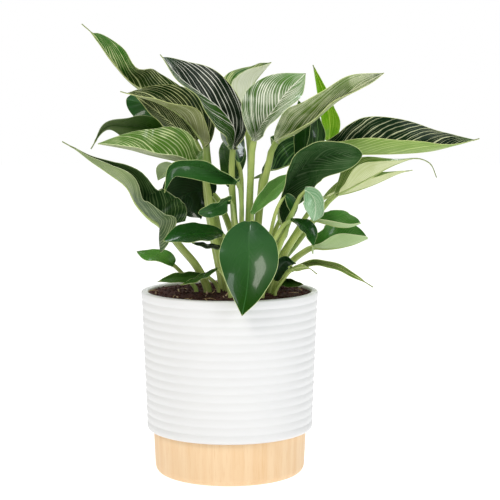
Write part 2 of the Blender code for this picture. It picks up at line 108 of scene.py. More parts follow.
def addCamera(s):
    camera = bpy.data.cameras.new("camera")
    camera.lens = s["lens"]
    camera.sensor_width = s["sensor"]
    camera.clip_start = s["nearest"]
    camera.clip_end = s["farthest"]
    item = linked("camera", camera)
    item.location = s["place"]
    item.rotation_euler = (math.pi / 2 - s["pitchDown"], 0, 0)
    bpy.context.scene.camera = item


# soft studio light and a white floor

studioSet = {
    "ambient": "#eceee8", "ambientStrength": 0.48,
    "drapeStrength": 0.1,
    "floorRadius": 7.0, "floorDrop": 0.0004,   # m
    "floorColor": "#9a9a98", "floorGlow": 0.95,
    "softboxes": [
        # name, place, aimed at, width, height, watts, colour
        ("keySoftbox", (-0.8, -1.4, 1.6), (0, 0, 0.27), 0.5, 0.8, 15, "#fffaf2"),
        ("fillSoftbox", (1.6, -1.4, 1.0), (0, 0, 0.25), 0.5, 1.2, 12, "#f8fbff"),
        ("topSoftbox", (-0.2, 0.4, 1.8), (0, 0, 0.3), 0.4, 0.6, 14, "#f4f8ff"),
        ("backSoftbox", (0.6, 1.7, 0.9), (0, 0, 0.3), 1.2, 1.0, 6, "#ffffff"),
    ],
}


def seamlessPaper(s):
    # seamless white paper: matt, a little uneven, lit so that it stays white round the pot
    material, add = newMaterial("seamlessPaper")
    place = add("TexCoord", out="Object")
    grain = add("TexNoise", {"Vector": place, "Scale": 40.0})   # about 25 mm
    rough = add("MapRange", [grain, 0, 1, 0.85, 0.95])
    shader = add("BsdfPrincipled", {
        "Base Color": hexColor(s["floorColor"]), "Roughness": rough,
        "Emission Color": (1, 1, 1, 1), "Emission Strength": s["floorGlow"]})
    add("OutputMaterial", [shader])
    return material


def addStudio(s):
    world = bpy.data.worlds.new("studio")
    bpy.context.scene.world = world
    world.use_nodes = True
    world.node_tree.nodes.clear()
    add = partial(addNode, world.node_tree)
    # reflections see darker surroundings than the leaves are lit by, as in a draped studio
    soft = add("Background", [hexColor(s["ambient"]), s["ambientStrength"]])
    drape = add("Background", [hexColor(s["ambient"]), s["drapeStrength"]])
    white = add("Background", [(1, 1, 1, 1), 1.0])
    around = add("MixShader", [add("LightPath", out="Is Glossy Ray"), soft, drape])
    both = add("MixShader", [add("LightPath", out="Is Camera Ray"), around, white])
    add("OutputWorld", [both])

    for name, place, aim, width, height, power, color in s["softboxes"]:
        lamp = bpy.data.lights.new(name, "AREA")
        lamp.shape = "RECTANGLE"
        lamp.size, lamp.size_y = width, height
        lamp.energy = power
        lamp.color = hexColor(color)[:3]
        item = linked(name, lamp)
        item.location = place
        item.rotation_euler = (Vector(aim) - Vector(place)).to_track_quat("-Z", "Y").to_euler()

    deselectAll()
    bpy.ops.mesh.primitive_circle_add(vertices=128, radius=s["floorRadius"], fill_type="NGON",
                                      location=(0, 0, -s["floorDrop"]))
    floor = bpy.context.object
    floor.name = "studioFloor"
    bpy.ops.object.transform_apply(location=True)
    floor.data.materials.append(seamlessPaper(s))
    print("studio set")


def setPictureLook():
    view = bpy.context.scene.view_settings
    view.view_transform = "Standard"
    view.look = "None"


# turned bodies: the pot and its wooden base

def turnProfile(name, profile, steps):
    # one vertex is extruded along the profile, and the line is spun round the pot's axis
    deselectAll()
    bpy.ops.mesh.primitive_plane_add(size=0.01)
    item = bpy.context.object
    item.name = item.data.name = name
    bpy.ops.object.mode_set(mode="EDIT")
    bpy.ops.mesh.select_all(action="SELECT")
    bpy.ops.mesh.merge(type="CENTER")
    bpy.ops.transform.translate(value=(profile[0][0], 0, profile[0][1]))
    for (r0, z0), (r1, z1) in zip(profile, profile[1:]):
        bpy.ops.mesh.extrude_region_move(TRANSFORM_OT_translate={"value": (r1 - r0, 0, z1 - z0)})
    bpy.ops.mesh.select_all(action="SELECT")
    bpy.ops.mesh.spin(steps=steps, angle=2 * math.pi, center=(0, 0, 0), axis=(0, 0, 1))
    bpy.ops.mesh.select_all(action="SELECT")
    bpy.ops.mesh.remove_doubles(threshold=0.00001)
    bpy.ops.mesh.normals_make_consistent(inside=False)
    bpy.ops.object.mode_set(mode="OBJECT")
    bpy.ops.object.transform_apply(location=True, rotation=True, scale=True)
    bpy.ops.object.shade_smooth_by_angle(angle=math.radians(50))
    return item


def arc(start, end, count):
    # the cosine and sine of each angle of a rounded corner, given in degrees
    angles = [math.radians(angle) for angle in np.linspace(start, end, count)]
    return [(math.cos(a), math.sin(a)) for a in angles]


potSet = {   # mm
    "rimRadius": 82.5, "top": 170.5, "bottom": 40.0,
    "footRadius": 73.0, "lowRadius": 77.8,
    "lip": 7.8, "lipRound": 1.6, "lipFace": 4.5, "lipLean": 0.05,
    "lowBand": 8.5, "footStep": 1.2, "footLift": 0.3, "footRound": 3.6,
    "ribs": 15, "ribDepth": 0.75, "pointsPerRib": 10,
    "crest": 0.8,          # below 1, crests are broader than grooves
    "ribFade": 1.2,        # the outer grooves run out in this height
    "wall": 6.2, "floor": 8.0, "floorRadius": 70.0, "floorCorner": 3.0,
    "innerFrom": 12.0, "innerTo": 3.0, "innerRings": 10,
    "steps": 144, "roundPoints": 7,
    "glaze": "#e8e8e9", "glazeShade": "#e4e4e6",
}


def potOuter(s, z):
    low = s["bottom"] + s["lowBand"]
    return s["lowRadius"] + (s["rimRadius"] - s["lowRadius"]) * (z - low) / (s["top"] - low)


def potInner(s, z):
    return potOuter(s, z) - s["wall"]


def potProfile(s):
    top, bottom, lip, rim = s["top"], s["bottom"], s["lipRound"], s["rimRadius"]
    ribTop, ribBottom = top - s["lip"], bottom + s["lowBand"]
    pitch = (ribTop - ribBottom) / s["ribs"]
    floorTop = bottom + s["floor"]
    points = [(s["floorRadius"] * k / 4, floorTop) for k in range(4)]
    points += [(potInner(s, floorTop) - s["floorCorner"], floorTop),
               (potInner(s, floorTop), floorTop + s["floorCorner"])]
    points += [(potInner(s, z), z)
               for z in np.linspace(floorTop + s["innerFrom"], top - s["innerTo"], s["innerRings"])]
    # the lip is rounded over the wall from both sides
    quarter = arc(0, 90, s["roundPoints"])
    points += [(rim - s["wall"] + lip * (1 - c), top - lip + lip * n) for c, n in quarter]
    points += [(rim - lip + lip * n, top - lip + lip * c) for c, n in quarter]
    points.append((rim - s["lipLean"], top - s["lipFace"]))
    # ribs: broad rounded crests with a narrower groove between
    heights = np.linspace(ribTop + s["ribFade"], ribBottom - s["ribFade"], s["ribs"] * s["pointsPerRib"] + 4)
    for z in heights:
        turn = (ribTop - z) / pitch
        inside = min(max(turn, 0), s["ribs"])
        crest = abs(math.sin(math.pi * inside)) ** s["crest"]
        edge = max(0, 1 - abs(turn - inside) * pitch / s["ribFade"])
        points.append((potOuter(s, z) - s["ribDepth"] * (1 - crest) * edge, z))
    foot = s["footRadius"] + s["footStep"]
    points += [(foot + (s["lowRadius"] - foot) * c, bottom + s["footLift"] + s["footRound"] * (1 - n))
               for c, n in quarter]
    points += [(s["footRadius"] * k / 4, bottom) for k in (4, 3, 2, 1, 0)]
    return [(r * mm, z * mm) for r, z in points]


def mattGlaze(s):
    # matt white earthenware glaze: fired satin, so a broad soft sheen, with a faint unevenness
    material, add = newMaterial("mattWhiteGlaze")
    place = add("TexCoord", out="Object")
    cloud = add("TexNoise", {"Vector": place, "Scale": 22.0, "Detail": 3.0})   # about 45 mm
    grit = add("TexNoise", {"Vector": place, "Scale": 900.0, "Detail": 2.0})   # about 1 mm
    color = add("Mix", {0: cloud, 6: hexColor(s["glazeShade"]), 7: hexColor(s["glaze"])}, **colorMix)
    rough = add("MapRange", [cloud, 0, 1, 0.48, 0.6])
    bump = add("Bump", {"Height": grit, "Strength": 0.12, "Distance": 0.0002})
    shader = add("BsdfPrincipled", {"Base Color": color, "Roughness": rough, "IOR": 1.5, "Normal": bump})
    add("OutputMaterial", [shader])
    return material


def addPot(s):
    pot = turnProfile("ribbedPot", potProfile(s), s["steps"])
    pot.data.materials.append(mattGlaze(s))
    settle(pot, ["pot"])
    print("pot turned:", len(pot.data.polygons), "faces")


woodSet = {   # mm
    "topRadius": 71.7, "lowRadius": 70.3, "footRadius": 65.0, "top": 39.7,
    "easedEdge": [(0.8, 0), (0.2, 0.25), (0, 0.8)],   # inwards and down from the top corner
    "sideDrop": 30.7, "sideRings": 8,
    "footRound": 7.6, "footFrom": 10, "footPoints": 9,
    "steps": 144,
    "light": "#f1d1a9", "middle": "#ecc79a", "dark": "#e0b17a",
}


def woodProfile(s):
    top, wide, low = s["top"], s["topRadius"], s["lowRadius"]
    points = [(wide * k / 4, top) for k in range(4)]
    points += [(wide - inwards, top - down) for inwards, down in s["easedEdge"]]
    sideTop, rings = points[-1][1], s["sideRings"]
    points += [(wide + (low - wide) * k / rings, sideTop - s["sideDrop"] * k / rings)
               for k in range(1, rings + 1)]
    # the foot is turned to a soft round edge
    points += [(s["footRadius"] + (low - s["footRadius"]) * c, s["footRound"] * (1 - n))
               for c, n in arc(s["footFrom"], 90, s["footPoints"])]
    points += [(s["footRadius"] * k / 4, 0) for k in (3, 2, 1, 0)]
    return [(r * mm, z * mm) for r, z in points]


def bambooMaterial(s):
    # bamboo, glued from upright strips, turned and oiled: fine upright fibres in pale strips
    material, add = newMaterial("oiledBamboo")
    place = add("TexCoord", out="Object")
    # strips about 6 mm wide run up the wall, and fibres about 1 mm, as fine as the render shows
    strips = add("TexNoise", {"Vector": add("Mapping", {"Vector": place, "Scale": (150, 150, 1.5)}),
                              "Scale": 1.0, "Detail": 1.0})
    fibres = add("TexNoise", {"Vector": add("Mapping", {"Vector": place, "Scale": (1100, 1100, 14)}),
                              "Scale": 1.0, "Detail": 3.0, "Roughness": 0.6})
    base = add("Mix", {0: add("MapRange", [strips, 0.35, 0.65]),
                       6: hexColor(s["middle"]), 7: hexColor(s["light"])}, **colorMix)
    lines = add("MapRange", [fibres, 0.52, 0.78, 0.0, 0.55])
    color = add("Mix", {0: lines, 6: base, 7: hexColor(s["dark"])}, **colorMix)
    rough = add("MapRange", [fibres, 0, 1, 0.42, 0.6])
    bump = add("Bump", {"Height": fibres, "Strength": 0.25, "Distance": 0.0003})
    shader = add("BsdfPrincipled", {"Base Color": color, "Roughness": rough, "IOR": 1.5, "Normal": bump})
    add("OutputMaterial", [shader])
    return material


def addWoodBase(s):
    base = turnProfile("bambooBase", woodProfile(s), s["steps"])
    base.data.materials.append(bambooMaterial(s))
    settle(base, ["wood_base"])
    print("wooden base turned:", len(base.data.polygons), "faces")


# potting soil

soilSet = {   # mm
    "edgeTop": 168.5, "moundTop": 171.2, "depth": 157.0, "gap": 0.1,
    "rings": 46, "steps": 160,
    "lumps": 1.1, "lumpScale": 0.11, "sink": 0.4,   # unevenness, and how far it is let down
    "dark": "#2c1412", "brown": "#54302a", "light": "#7a5040",
}


def soilHeight(s, x, y):
    out = min(math.hypot(x, y) / potInner(potSet, s["edgeTop"]), 1)
    height = s["edgeTop"] + (s["moundTop"] - s["edgeTop"]) * (1 - out ** 2)
    lump = noise.fractal(Vector((x * s["lumpScale"], y * s["lumpScale"], 3.1)), 0.8, 2.2, 4)
    return height + s["lumps"] * lump * (1 - out ** 8) - s["sink"]


def compostMaterial(s):
    # peat and bark compost: matt crumbs in dark red-browns, a little damp
    material, add = newMaterial("pottingCompost")
    place = add("TexCoord", out="Object")
    lumps = add("TexNoise", {"Vector": place, "Scale": 240.0, "Detail": 4.0})    # about 4 mm
    crumbs = add("TexVoronoi", {"Vector": place, "Scale": 520.0})                # about 2 mm
    grains = add("TexNoise", {"Vector": place, "Scale": 900.0, "Detail": 3.0})   # about 1 mm
    base = add("Mix", {0: add("MapRange", [lumps, 0.35, 0.68]),
                       6: hexColor(s["dark"]), 7: hexColor(s["brown"])}, **colorMix)
    flecks = add("MapRange", [grains, 0.6, 0.78, 0.0, 0.8])
    color = add("Mix", {0: flecks, 6: base, 7: hexColor(s["light"])}, **colorMix)
    bump = add("Bump", {"Height": crumbs, "Strength": 0.8, "Distance": 0.0012})
    shader = add("BsdfPrincipled", {"Base Color": color, "Roughness": 0.92, "IOR": 1.4, "Normal": bump})
    add("OutputMaterial", [shader])
    return material


def strawMaterial(name, dark, light):
    # dry root fibre and straw: pale, matt, streaked along its length
    material, add = newMaterial(name)
    place = add("TexCoord", out="Object")
    streak = add("TexNoise", {"Vector": place, "Scale": 380.0, "Detail": 3.0})   # about 3 mm
    color = add("Mix", {0: add("MapRange", [streak, 0.3, 0.7]), 6: hexColor(dark), 7: hexColor(light)},
                **colorMix)
    bump = add("Bump", {"Height": streak, "Strength": 0.4, "Distance": 0.0003})
    shader = add("BsdfPrincipled", {"Base Color": color, "Roughness": 0.85, "IOR": 1.45, "Normal": bump})
    add("OutputMaterial", [shader])
    return material


def addSoil(s):
    top, depth = s["edgeTop"], s["depth"]
    edge, low = potInner(potSet, top) - s["gap"], potInner(potSet, depth) - s["gap"]
    profile = [(edge * k / s["rings"], top) for k in range(s["rings"] + 1)]
    profile += [((edge + low) / 2, (top + depth) / 2), (low, depth)]
    profile += [(low * k / 3, depth) for k in (2, 1, 0)]
    soil = turnProfile("compostSurface", [(r * mm, z * mm) for r, z in profile], s["steps"])
    # the flat top becomes a lumpy mound
    for vertex in soil.data.vertices:
        if vertex.co.z > (top - s["gap"]) * mm:
            vertex.co.z = soilHeight(s, vertex.co.x / mm, vertex.co.y / mm) * mm
    soil.data.materials.append(compostMaterial(s))
    settle(soil, ["soil"])
    print("soil laid:", len(soil.data.polygons), "faces")
    return edge


def addLoose(name, points, faces, material):
    # loose matter that lies on the soil, in one mesh
    mesh = bpy.data.meshes.new(name)
    mesh.from_pydata(points, [], faces)
    mesh.shade_smooth()
    mesh.materials.append(material)
    settle(linked(name, mesh))


def scatter(name, shapes, places, material):
    # copies of a few small shapes, each turned and sized its own way
    points, faces = [], []
    for which, size, turn, place in places:
        base, polygons = shapes[which]
        first = len(points)
        moved = (np.array(base) * np.array(size)) @ np.array(turn).T + np.array(place)
        points += [tuple(p) for p in moved]
        faces += [tuple(first + i for i in polygon) for polygon in polygons]
    addLoose(name, points, faces, material)


crumbSet = {   # mm
    "seed": 11, "shapes": 4, "finer": 2,       # broken lumps, and how many of them have more faces
    "broken": 0.32, "brokenScale": 1.7,
    "crumbs": 900, "largest": 1.3, "smallest": 0.3, "fromEdge": 1.5, "lift": 0.15,
    "bits": 20, "bitSize": (1.6, 0.7, 0.4), "bitsFromEdge": 4.0, "bitLift": 0.8,
    "bitDark": "#a98a5e", "bitLight": "#d9cbb0",
}


def crumbShapes(s):
    # a few broken lumps, each from an icosphere pushed about
    shapes = []
    for k in range(s["shapes"]):
        deselectAll()
        bpy.ops.mesh.primitive_ico_sphere_add(subdivisions=2 if k < s["finer"] else 1, radius=1)
        lump = bpy.context.object
        shift = Vector((k * 9.1, 0, 0))   # each lump is broken its own way
        base = [v.co * (1 + s["broken"] * noise.noise(v.co * s["brokenScale"] + shift))
                for v in lump.data.vertices]
        shapes.append(([tuple(p) for p in base], [tuple(f.vertices) for f in lump.data.polygons]))
        bpy.data.objects.remove(lump)
    return shapes


def randomSpot(rng, reach, inner=0.0):
    # spread evenly over the soil, out to the reach
    r = reach * math.sqrt(rng.uniform(inner, 1))
    a = rng.uniform(0, 2 * math.pi)
    return r * math.cos(a), r * math.sin(a)


def randomCopy(rng, size, x, y, lift):
    # its size, its turn and its place on the soil
    turn = Euler(tuple(rng.uniform(0, 2 * math.pi, 3))).to_matrix()
    return size * mm, turn, (x * mm, y * mm, (soilHeight(soilSet, x, y) + lift) * mm)


def addCrumbs(s, edge):
    rng = np.random.default_rng(s["seed"])
    shapes = crumbShapes(s)
    places = []
    for k in range(s["crumbs"]):
        x, y = randomSpot(rng, edge - s["fromEdge"])
        big = rng.uniform(0.3, 1.0) ** 2 * s["largest"] + s["smallest"]
        size = np.array((big, big * rng.uniform(0.6, 1), big * rng.uniform(0.5, 0.9)))
        which = int(rng.integers(0, s["shapes"]))
        places.append((which, *randomCopy(rng, size, x, y, big * s["lift"])))
    scatter("compostCrumbs", shapes, places, compostMaterial(soilSet))

    places = []
    for k in range(s["bits"]):
        x, y = randomSpot(rng, edge - s["bitsFromEdge"], 0.1)
        size = rng.uniform(0.5, 1.5) * np.array(s["bitSize"])
        which = int(rng.integers(0, s["shapes"]))
        places.append((which, *randomCopy(rng, size, x, y, s["bitLift"])))
    scatter("barkBits", shapes, places, strawMaterial("paleBark", s["bitDark"], s["bitLight"]))
    print("crumbs laid:", s["crumbs"], "and", s["bits"], "pale bits")


fibreSet = {   # mm
    "seed": 12, "fibres": 18, "rings": 9, "sides": 5, "step": 1.5,
    "thick": (0.18, 0.42), "bend": 0.25,
    "fromEdge": 6.0, "turnBack": 2.0, "backTurn": 0.9,   # one that nears the wall turns away
    "lift": 0.7, "arch": 1.1,
    "dark": "#a98a5e", "light": "#dcc79a",
}


def addFibres(s, edge):
    # thin curved fibres that lie on the soil, each a small tube
    rng = np.random.default_rng(s["seed"])
    rings, sides = s["rings"], s["sides"]
    points, faces = [], []
    for k in range(s["fibres"]):
        x, y = randomSpot(rng, edge - s["fromEdge"], 0.02)
        heading, bend = rng.uniform(0, 2 * math.pi), rng.uniform(-s["bend"], s["bend"])
        thick = rng.uniform(*s["thick"])
        first = len(points)
        for i in range(rings):
            if math.hypot(x, y) > edge - s["turnBack"]:
                heading += s["backTurn"]
            z = soilHeight(soilSet, x, y) + s["lift"] + s["arch"] * math.sin(math.pi * i / (rings - 1))
            taper = thick * (1 - 0.5 * abs(2 * i / (rings - 1) - 1))
            for j in range(sides):
                out = taper * math.cos(2 * math.pi * j / sides)
                points.append(((x - math.sin(heading) * out) * mm, (y + math.cos(heading) * out) * mm,
                               (z + taper * math.sin(2 * math.pi * j / sides)) * mm))
            x += math.cos(heading) * s["step"]
            y += math.sin(heading) * s["step"]
            heading += bend
        for i in range(rings - 1):
            for j in range(sides):
                c, d = first + i * sides + j, first + i * sides + (j + 1) % sides
                faces.append((c, d, d + sides, c + sides))
        faces.append(tuple(first + j for j in reversed(range(sides))))
        faces.append(tuple(first + (rings - 1) * sides + j for j in range(sides)))
    addLoose("rootFibres", points, faces, strawMaterial("dryFibre", s["dark"], s["light"]))
    print("fibres laid:", s["fibres"])


# leaf finishes

# sweep is how far along the blade a stripe runs on its way to the margin, and curve how
# much further it leans forward at the margin, both as shares of the blade's length
commonLook = {
    "count": 20, "width": 0.12, "sweep": 0.3, "curve": 0.2,   # stripes
    "strength": 1.0, "fine": 0.6, "thin": 0.6,
    "tipFrom": 0.8, "tipFull": 1.0, "tipStripes": 0.25,
}


def leafLook(face, under, margin, **more):
    # face: blade, streak, stripe and tip; under: blade, stripe and tip
    return {**commonLook, "face": face, "under": (*under, under[0])[:3], "margin": margin, **more}


leafLooks = {
    "inkWide": leafLook(   # black-green with long white pinstripes
        ("#0a2410", "#1c4a1c", "#eef3c4", "#2c7016"), ("#7d9a45", "#c3d585"), "#cfdc8c",
        count=24, sweep=0.12, curve=0.1, fine=0.35, tipFrom=0.72, thin=0.5, tipStripes=0.5),
    "inkLong": leafLook(
        ("#030d05", "#0e2a12", "#fafbee", "#1f4a1a"), ("#4f6d2c", "#b6cc7c"), "#cfdc8c",
        count=14, width=0.095, curve=0.12, fine=0.3,
        tipFrom=0.7, thin=0.3, otherBlade="#41701f", tipStripes=0.15),
    "olive": leafLook(
        ("#0f2408", "#34521a", "#eaf0b0", "#33701c"), ("#858c58", "#e6e8c4"), "#cfd98c",
        count=19, sweep=0.2, curve=0.15, fine=0.5, tipFrom=0.85, thin=0.5),
    "oliveTip": leafLook(   # striped below, plain bright green at the tip
        ("#1c380b", "#48641f", "#e4eab0", "#2c6a10"), ("#7f8a52", "#ced49c"), "#cfd98c",
        count=24, width=0.17, sweep=0.2, curve=0.15, fine=0.5, tipFrom=0.5, tipStripes=0.6, tipFull=0.62),
    "cream": leafLook(
        ("#46721e", "#74984a", "#eaf4b8", "#5f7e38"), ("#9aa573", "#dde3bf"), "#dcebac",
        count=24, width=0.17, sweep=0.12, fine=0.7, tipFrom=0.6, thin=0.8),
    "white": leafLook(   # so much white that the green shows as lines
        ("#2c5012", "#5d8434", "#f8fae8", "#4f8a2c"), ("#b3bf8e", "#e9edd4"), "#e4eec0",
        count=26, width=0.23, sweep=0.28, curve=0.14, tipFrom=0.5, thin=0.9, tipStripes=0.35),
    "bookCream": leafLook(
        ("#2c561a", "#9dbb5a", "#fafbdc", "#173f16"), ("#8b9a58", "#e6ebba"), "#dfe99c",
        count=22, width=0.26, sweep=0.42, fine=0.35, tipFrom=0.6, thin=0.8, tipStripes=0.8),
    "creamBack": leafLook(
        ("#2c5a1c", "#4c7a2c", "#d5e0a0", "#3c7424"), ("#e4e8cc", "#fafaf0"), "#dfe8b4",
        count=22, width=0.3, curve=0.24, strength=0.95, fine=0.7, tipFrom=0.75),
    # the front heart: a bluish green at the stalk end that is partly painted sheen, darkening to deep green
    # towards the tip
    "plain": leafLook(
        ("#28522a", "#3a6a34", "#3c7028", "#1a4402"), ("#7d9a58", "#a5bb80"), "#d3e39a",
        strength=0.2, fine=0.25, tipFrom=0.35, tipFull=0.85),
    "dark": leafLook(
        ("#0c3206", "#1e5214", "#336a28", "#1c5410"), ("#6f8354", "#a2b184"), "#a9bb78",
        strength=0.25, fine=0.3, tipFrom=0.5),
    "deep": leafLook(
        ("#23480e", "#38641c", "#7d9a5c", "#33561f"), ("#768a5a", "#a2b184"), "#a9bb78",
        strength=0.4, tipFrom=0.6),
    "paleOuter": leafLook(   # green near the stalk, pale olive beyond its twist
        # the underside is darker near the stalk than beyond the twist: painted shade where the leaf shades
        # itself
        ("#1b3c14", "#31562a", "#86a068", "#3a5a28"), ("#3e5630", "#b0bc8a", "#788a58"), "#a9b583",
        count=24, width=0.2, sweep=0.22, curve=0.12, strength=0.6,
        tipFrom=0.36, tipFull=0.5, tipStripes=0.9),
    "banded": leafLook(   # dark green with long green stripes
        ("#0d2a14", "#1d4a1e", "#6f9a5c", "#1f4c1c"), ("#7d9260", "#a9ba84"), "#b4c88c",
        count=15, width=0.2, sweep=0.34, strength=0.7),
    "droop": leafLook(   # plain dark green, olive grey towards its tip
        ("#244a0b", "#35601a", "#7c9656", "#6a7b52"), ("#768a5a", "#a2b184"), "#8fa270",
        count=18, width=0.1, strength=0.35, fine=0.4, tipFrom=0.35, tipFull=0.75),
    # near black green: painted shade, for leaves that hang in the shade of others
    "shade": leafLook(
        ("#0c260e", "#193c18", "#2c5530", "#12351a"), ("#4f6a44", "#7c9268"), "#6f8c58",
        count=18, strength=0.3, fine=0.5, tipFrom=0.7),
    "gloss": leafLook(
        ("#1f4a1a", "#3a6e2c", "#4c8a48", "#1c5420"), ("#7f9c5c", "#b4c68c"), "#b9cd86",
        strength=0.3, fine=0.35, tipFrom=0.75),
    "streaked": leafLook(   # dark green with faint pale streaks
        ("#25481e", "#3e6a34", "#9db58a", "#2f5424"), ("#9db58a", "#b8c49c"), "#c3d18c",
        count=24, width=0.16, strength=0.35, fine=0.5),
    "fresh": leafLook(
        ("#3f7a28", "#5a923c", "#88ac60", "#33701f"), ("#9cb57c", "#c9d7a6"), "#d9e6ae",
        width=0.14, strength=0.5, tipFrom=0.75),
    "young": leafLook(
        ("#5a8c40", "#7cab5a", "#a2c880", "#5c9440"), ("#a3bc84", "#c9d7a6"), "#d9e6ae",
        width=0.14, strength=0.4, tipFrom=0.75),
    # pale bluish green: the leaf's light green with a painted sheen over it
    "mint": leafLook(
        ("#6ca070", "#96c196", "#d4e6c8", "#5d9a5a"), ("#a3bb8c", "#cfdcb6"), "#dfeac8",
        width=0.24, strength=0.6, fine=0.8),
    "palm": leafLook(
        ("#4c7424", "#7f9a45", "#d5dd98", "#9cae6c"), ("#bfc88e", "#e4e8c4"), "#d2dd98",
        count=22, width=0.24, strength=0.8, fine=0.7, tipFrom=0.85),
    "lime": leafLook(
        ("#63a006", "#86c41a", "#c8ea5c", "#8cc41e"), ("#8cc41c", "#cbe67a"), "#b9de58",
        count=12, width=0.2, sweep=0.7, curve=0.3, strength=0.8),
}

skinSet = {
    "wander": 0.045,       # unevenness of a stripe's path
    "ribWidth": 0.5,       # mm, the pale line along the midrib
    "marginWidth": 0.32,   # mm, the pale line along the margin
    "faceRoughness": (0.24, 0.34),
    "coatRoughness": 0.09,
    "thread": "#7d8a4c",
    "underRoughness": (0.45, 0.58),
    "underStrength": 0.85,
}


def leafSkin(name, look, face, s):
    # a living leaf: a waxy cuticle over green tissue. The face is glossy, with white
    # stripes where the veins carry no green; the underside is paler and duller.
    material, add = newMaterial(name)
    under, underStripe, underTip = look["under"]
    blade, streak, stripeColor, tip = [
        hexColor(code) for code in (look["face"] if face else (under, under, underStripe, underTip))]
    strength = look["strength"] * (1 if face else s["underStrength"])
    wide = look["width"]

    uv = add("UVMap", uv_map="UVMap")
    along, across = (add("SeparateXYZ", [uv], out=axis) for axis in "XY")
    signed = add("Math", [across, 2.0, -1.0], operation="MULTIPLY_ADD")
    out = add("Math", [signed], operation="ABSOLUTE")
    place = add("TexCoord", out="Object")
    cloud = add("TexNoise", {"Vector": place, "Scale": 45.0, "Detail": 2.0})       # about 22 mm
    patch = add("TexNoise", {"Vector": place, "Scale": 70.0, "Detail": 1.0})       # about 14 mm
    broadTone = add("TexNoise", {"Vector": place, "Scale": 16.0, "Detail": 1.0})   # about 60 mm

    # the vein coordinate: the same all along a stripe, which leaves the midrib at an acute
    # angle and leans further forward towards the margin
    lean = add("Math", [out, look["curve"], look["sweep"]], operation="MULTIPLY_ADD")
    lean = add("Math", [out, lean], operation="MULTIPLY")
    vein = add("Math", [along, lean], operation="SUBTRACT")
    stray = add("Math", [cloud, 0.5], operation="SUBTRACT")
    vein = add("Math", [stray, s["wander"], vein], operation="MULTIPLY_ADD")
    # the two halves of a blade don't mirror each other
    half = add("Math", [signed, 0.0], operation="GREATER_THAN")
    half = add("Math", [half, 3.37], operation="MULTIPLY")
    lane = add("Math", [vein, look["count"], half], operation="MULTIPLY_ADD")

    # main stripes, broken here and there
    edge = add("TexVoronoi", {"W": lane, "Scale": 1.0},
               voronoi_dimensions="1D", feature="DISTANCE_TO_EDGE")
    broad = add("TexNoise", {"W": lane, "Scale": 1.1, "Detail": 0.0}, noise_dimensions="1D")
    width = add("MapRange", [broad, 0.3, 0.75, wide * 0.3, wide * 1.5], **smoothStep)
    stripe = add("MapRange", [add("Math", [edge, width], operation="DIVIDE"), 0.45, 1.25, 1.0, 0.0],
                 **smoothStep)
    broken = add("MapRange", [patch, 0.3, 0.55, 0.4, 1.0], **smoothStep)
    stripe = add("Math", [stripe, broken], operation="MULTIPLY")
    # thinner stripes between the main ones
    between = add("TexVoronoi", {"W": lane, "Scale": 2.37},
                  voronoi_dimensions="1D", feature="DISTANCE_TO_EDGE")
    thin = add("MapRange", [between, wide * 0.35, wide * 0.9, 1.0, 0.0], **smoothStep)
    seldom = add("MapRange", [patch, 0.4, 0.66, 0.0, look["thin"]], **smoothStep)
    thin = add("Math", [thin, seldom], operation="MULTIPLY")
    stripe = add("Math", [stripe, thin], operation="MAXIMUM")
    # fine streaks beside them
    fine = add("TexNoise", {"W": lane, "Scale": 4.3, "Detail": 2.0, "Roughness": 0.6},
               noise_dimensions="1D")
    fine = add("MapRange", [fine, 0.42, 0.72, 0.0, look["fine"]], **smoothStep)

    if face and "otherBlade" in look:
        # the half left of the midrib is greener
        leftHalf = add("MapRange", [signed, -0.06, 0.02, 1.0, 0.0], **smoothStep)
        blade = add("Mix", {0: leftHalf, 6: blade, 7: hexColor(look["otherBlade"])}, **colorMix)
    base = add("Mix", {0: fine, 6: blade, 7: streak}, **colorMix)
    # the tissue is lighter in broad patches, and takes another green towards the tip
    tone = add("MapRange", [broadTone, 0.4, 0.68, 0.0, 0.45], **smoothStep)
    base = add("Mix", {0: tone, 6: base, 7: streak}, **colorMix)
    # this also paints light: the darker paleOuter underside near the stalk is painted shade, and the bluish
    # plain face near the stalk is partly painted sheen
    nearTip = add("MapRange", [along, look["tipFrom"], look["tipFull"]], **smoothStep)
    base = add("Mix", {0: nearTip, 6: base, 7: tip}, **colorMix)
    fading = add("MapRange", [along, look["tipFrom"], 1.0, strength, strength * look["tipStripes"]],
                 **smoothStep)
    faded = add("Math", [stripe, fading], operation="MULTIPLY")
    color = add("Mix", {0: faded, 6: base, 7: stripeColor}, **colorMix)
    # pale lines along the midrib and the margin, where the blade is wide enough for both
    toEdge = add("Attribute", out="Fac", attribute_name="toEdge")
    toRib = add("Attribute", out="Fac", attribute_name="toRib")
    halfWidth = add("Math", [toEdge, toRib], operation="ADD")
    rib = add("MapRange", [toRib, s["ribWidth"] * 0.4, s["ribWidth"], 0.85, 0.0], **smoothStep)
    color = add("Mix", {0: rib, 6: color, 7: stripeColor if look["strength"] > 0.5 else streak}, **colorMix)
    margin = add("MapRange", [toEdge, s["marginWidth"] * 0.4, s["marginWidth"], 0.9, 0.0], **smoothStep)
    margin = add("Math", [margin, add("MapRange", [halfWidth, 1.0, 3.0], **smoothStep)],
                 operation="MULTIPLY")
    color = add("Mix", {0: margin, 6: color, 7: hexColor(look["margin"])}, **colorMix)
    # a drip tip dries to a brownish green
    thread = add("MapRange", [halfWidth, 0.6, 1.6, 1.0, 0.0], **smoothStep)
    thread = add("Math", [thread, add("MapRange", [along, 0.5, 0.7], **smoothStep)], operation="MULTIPLY")
    color = add("Mix", {0: thread, 6: color, 7: hexColor(s["thread"])}, **colorMix)

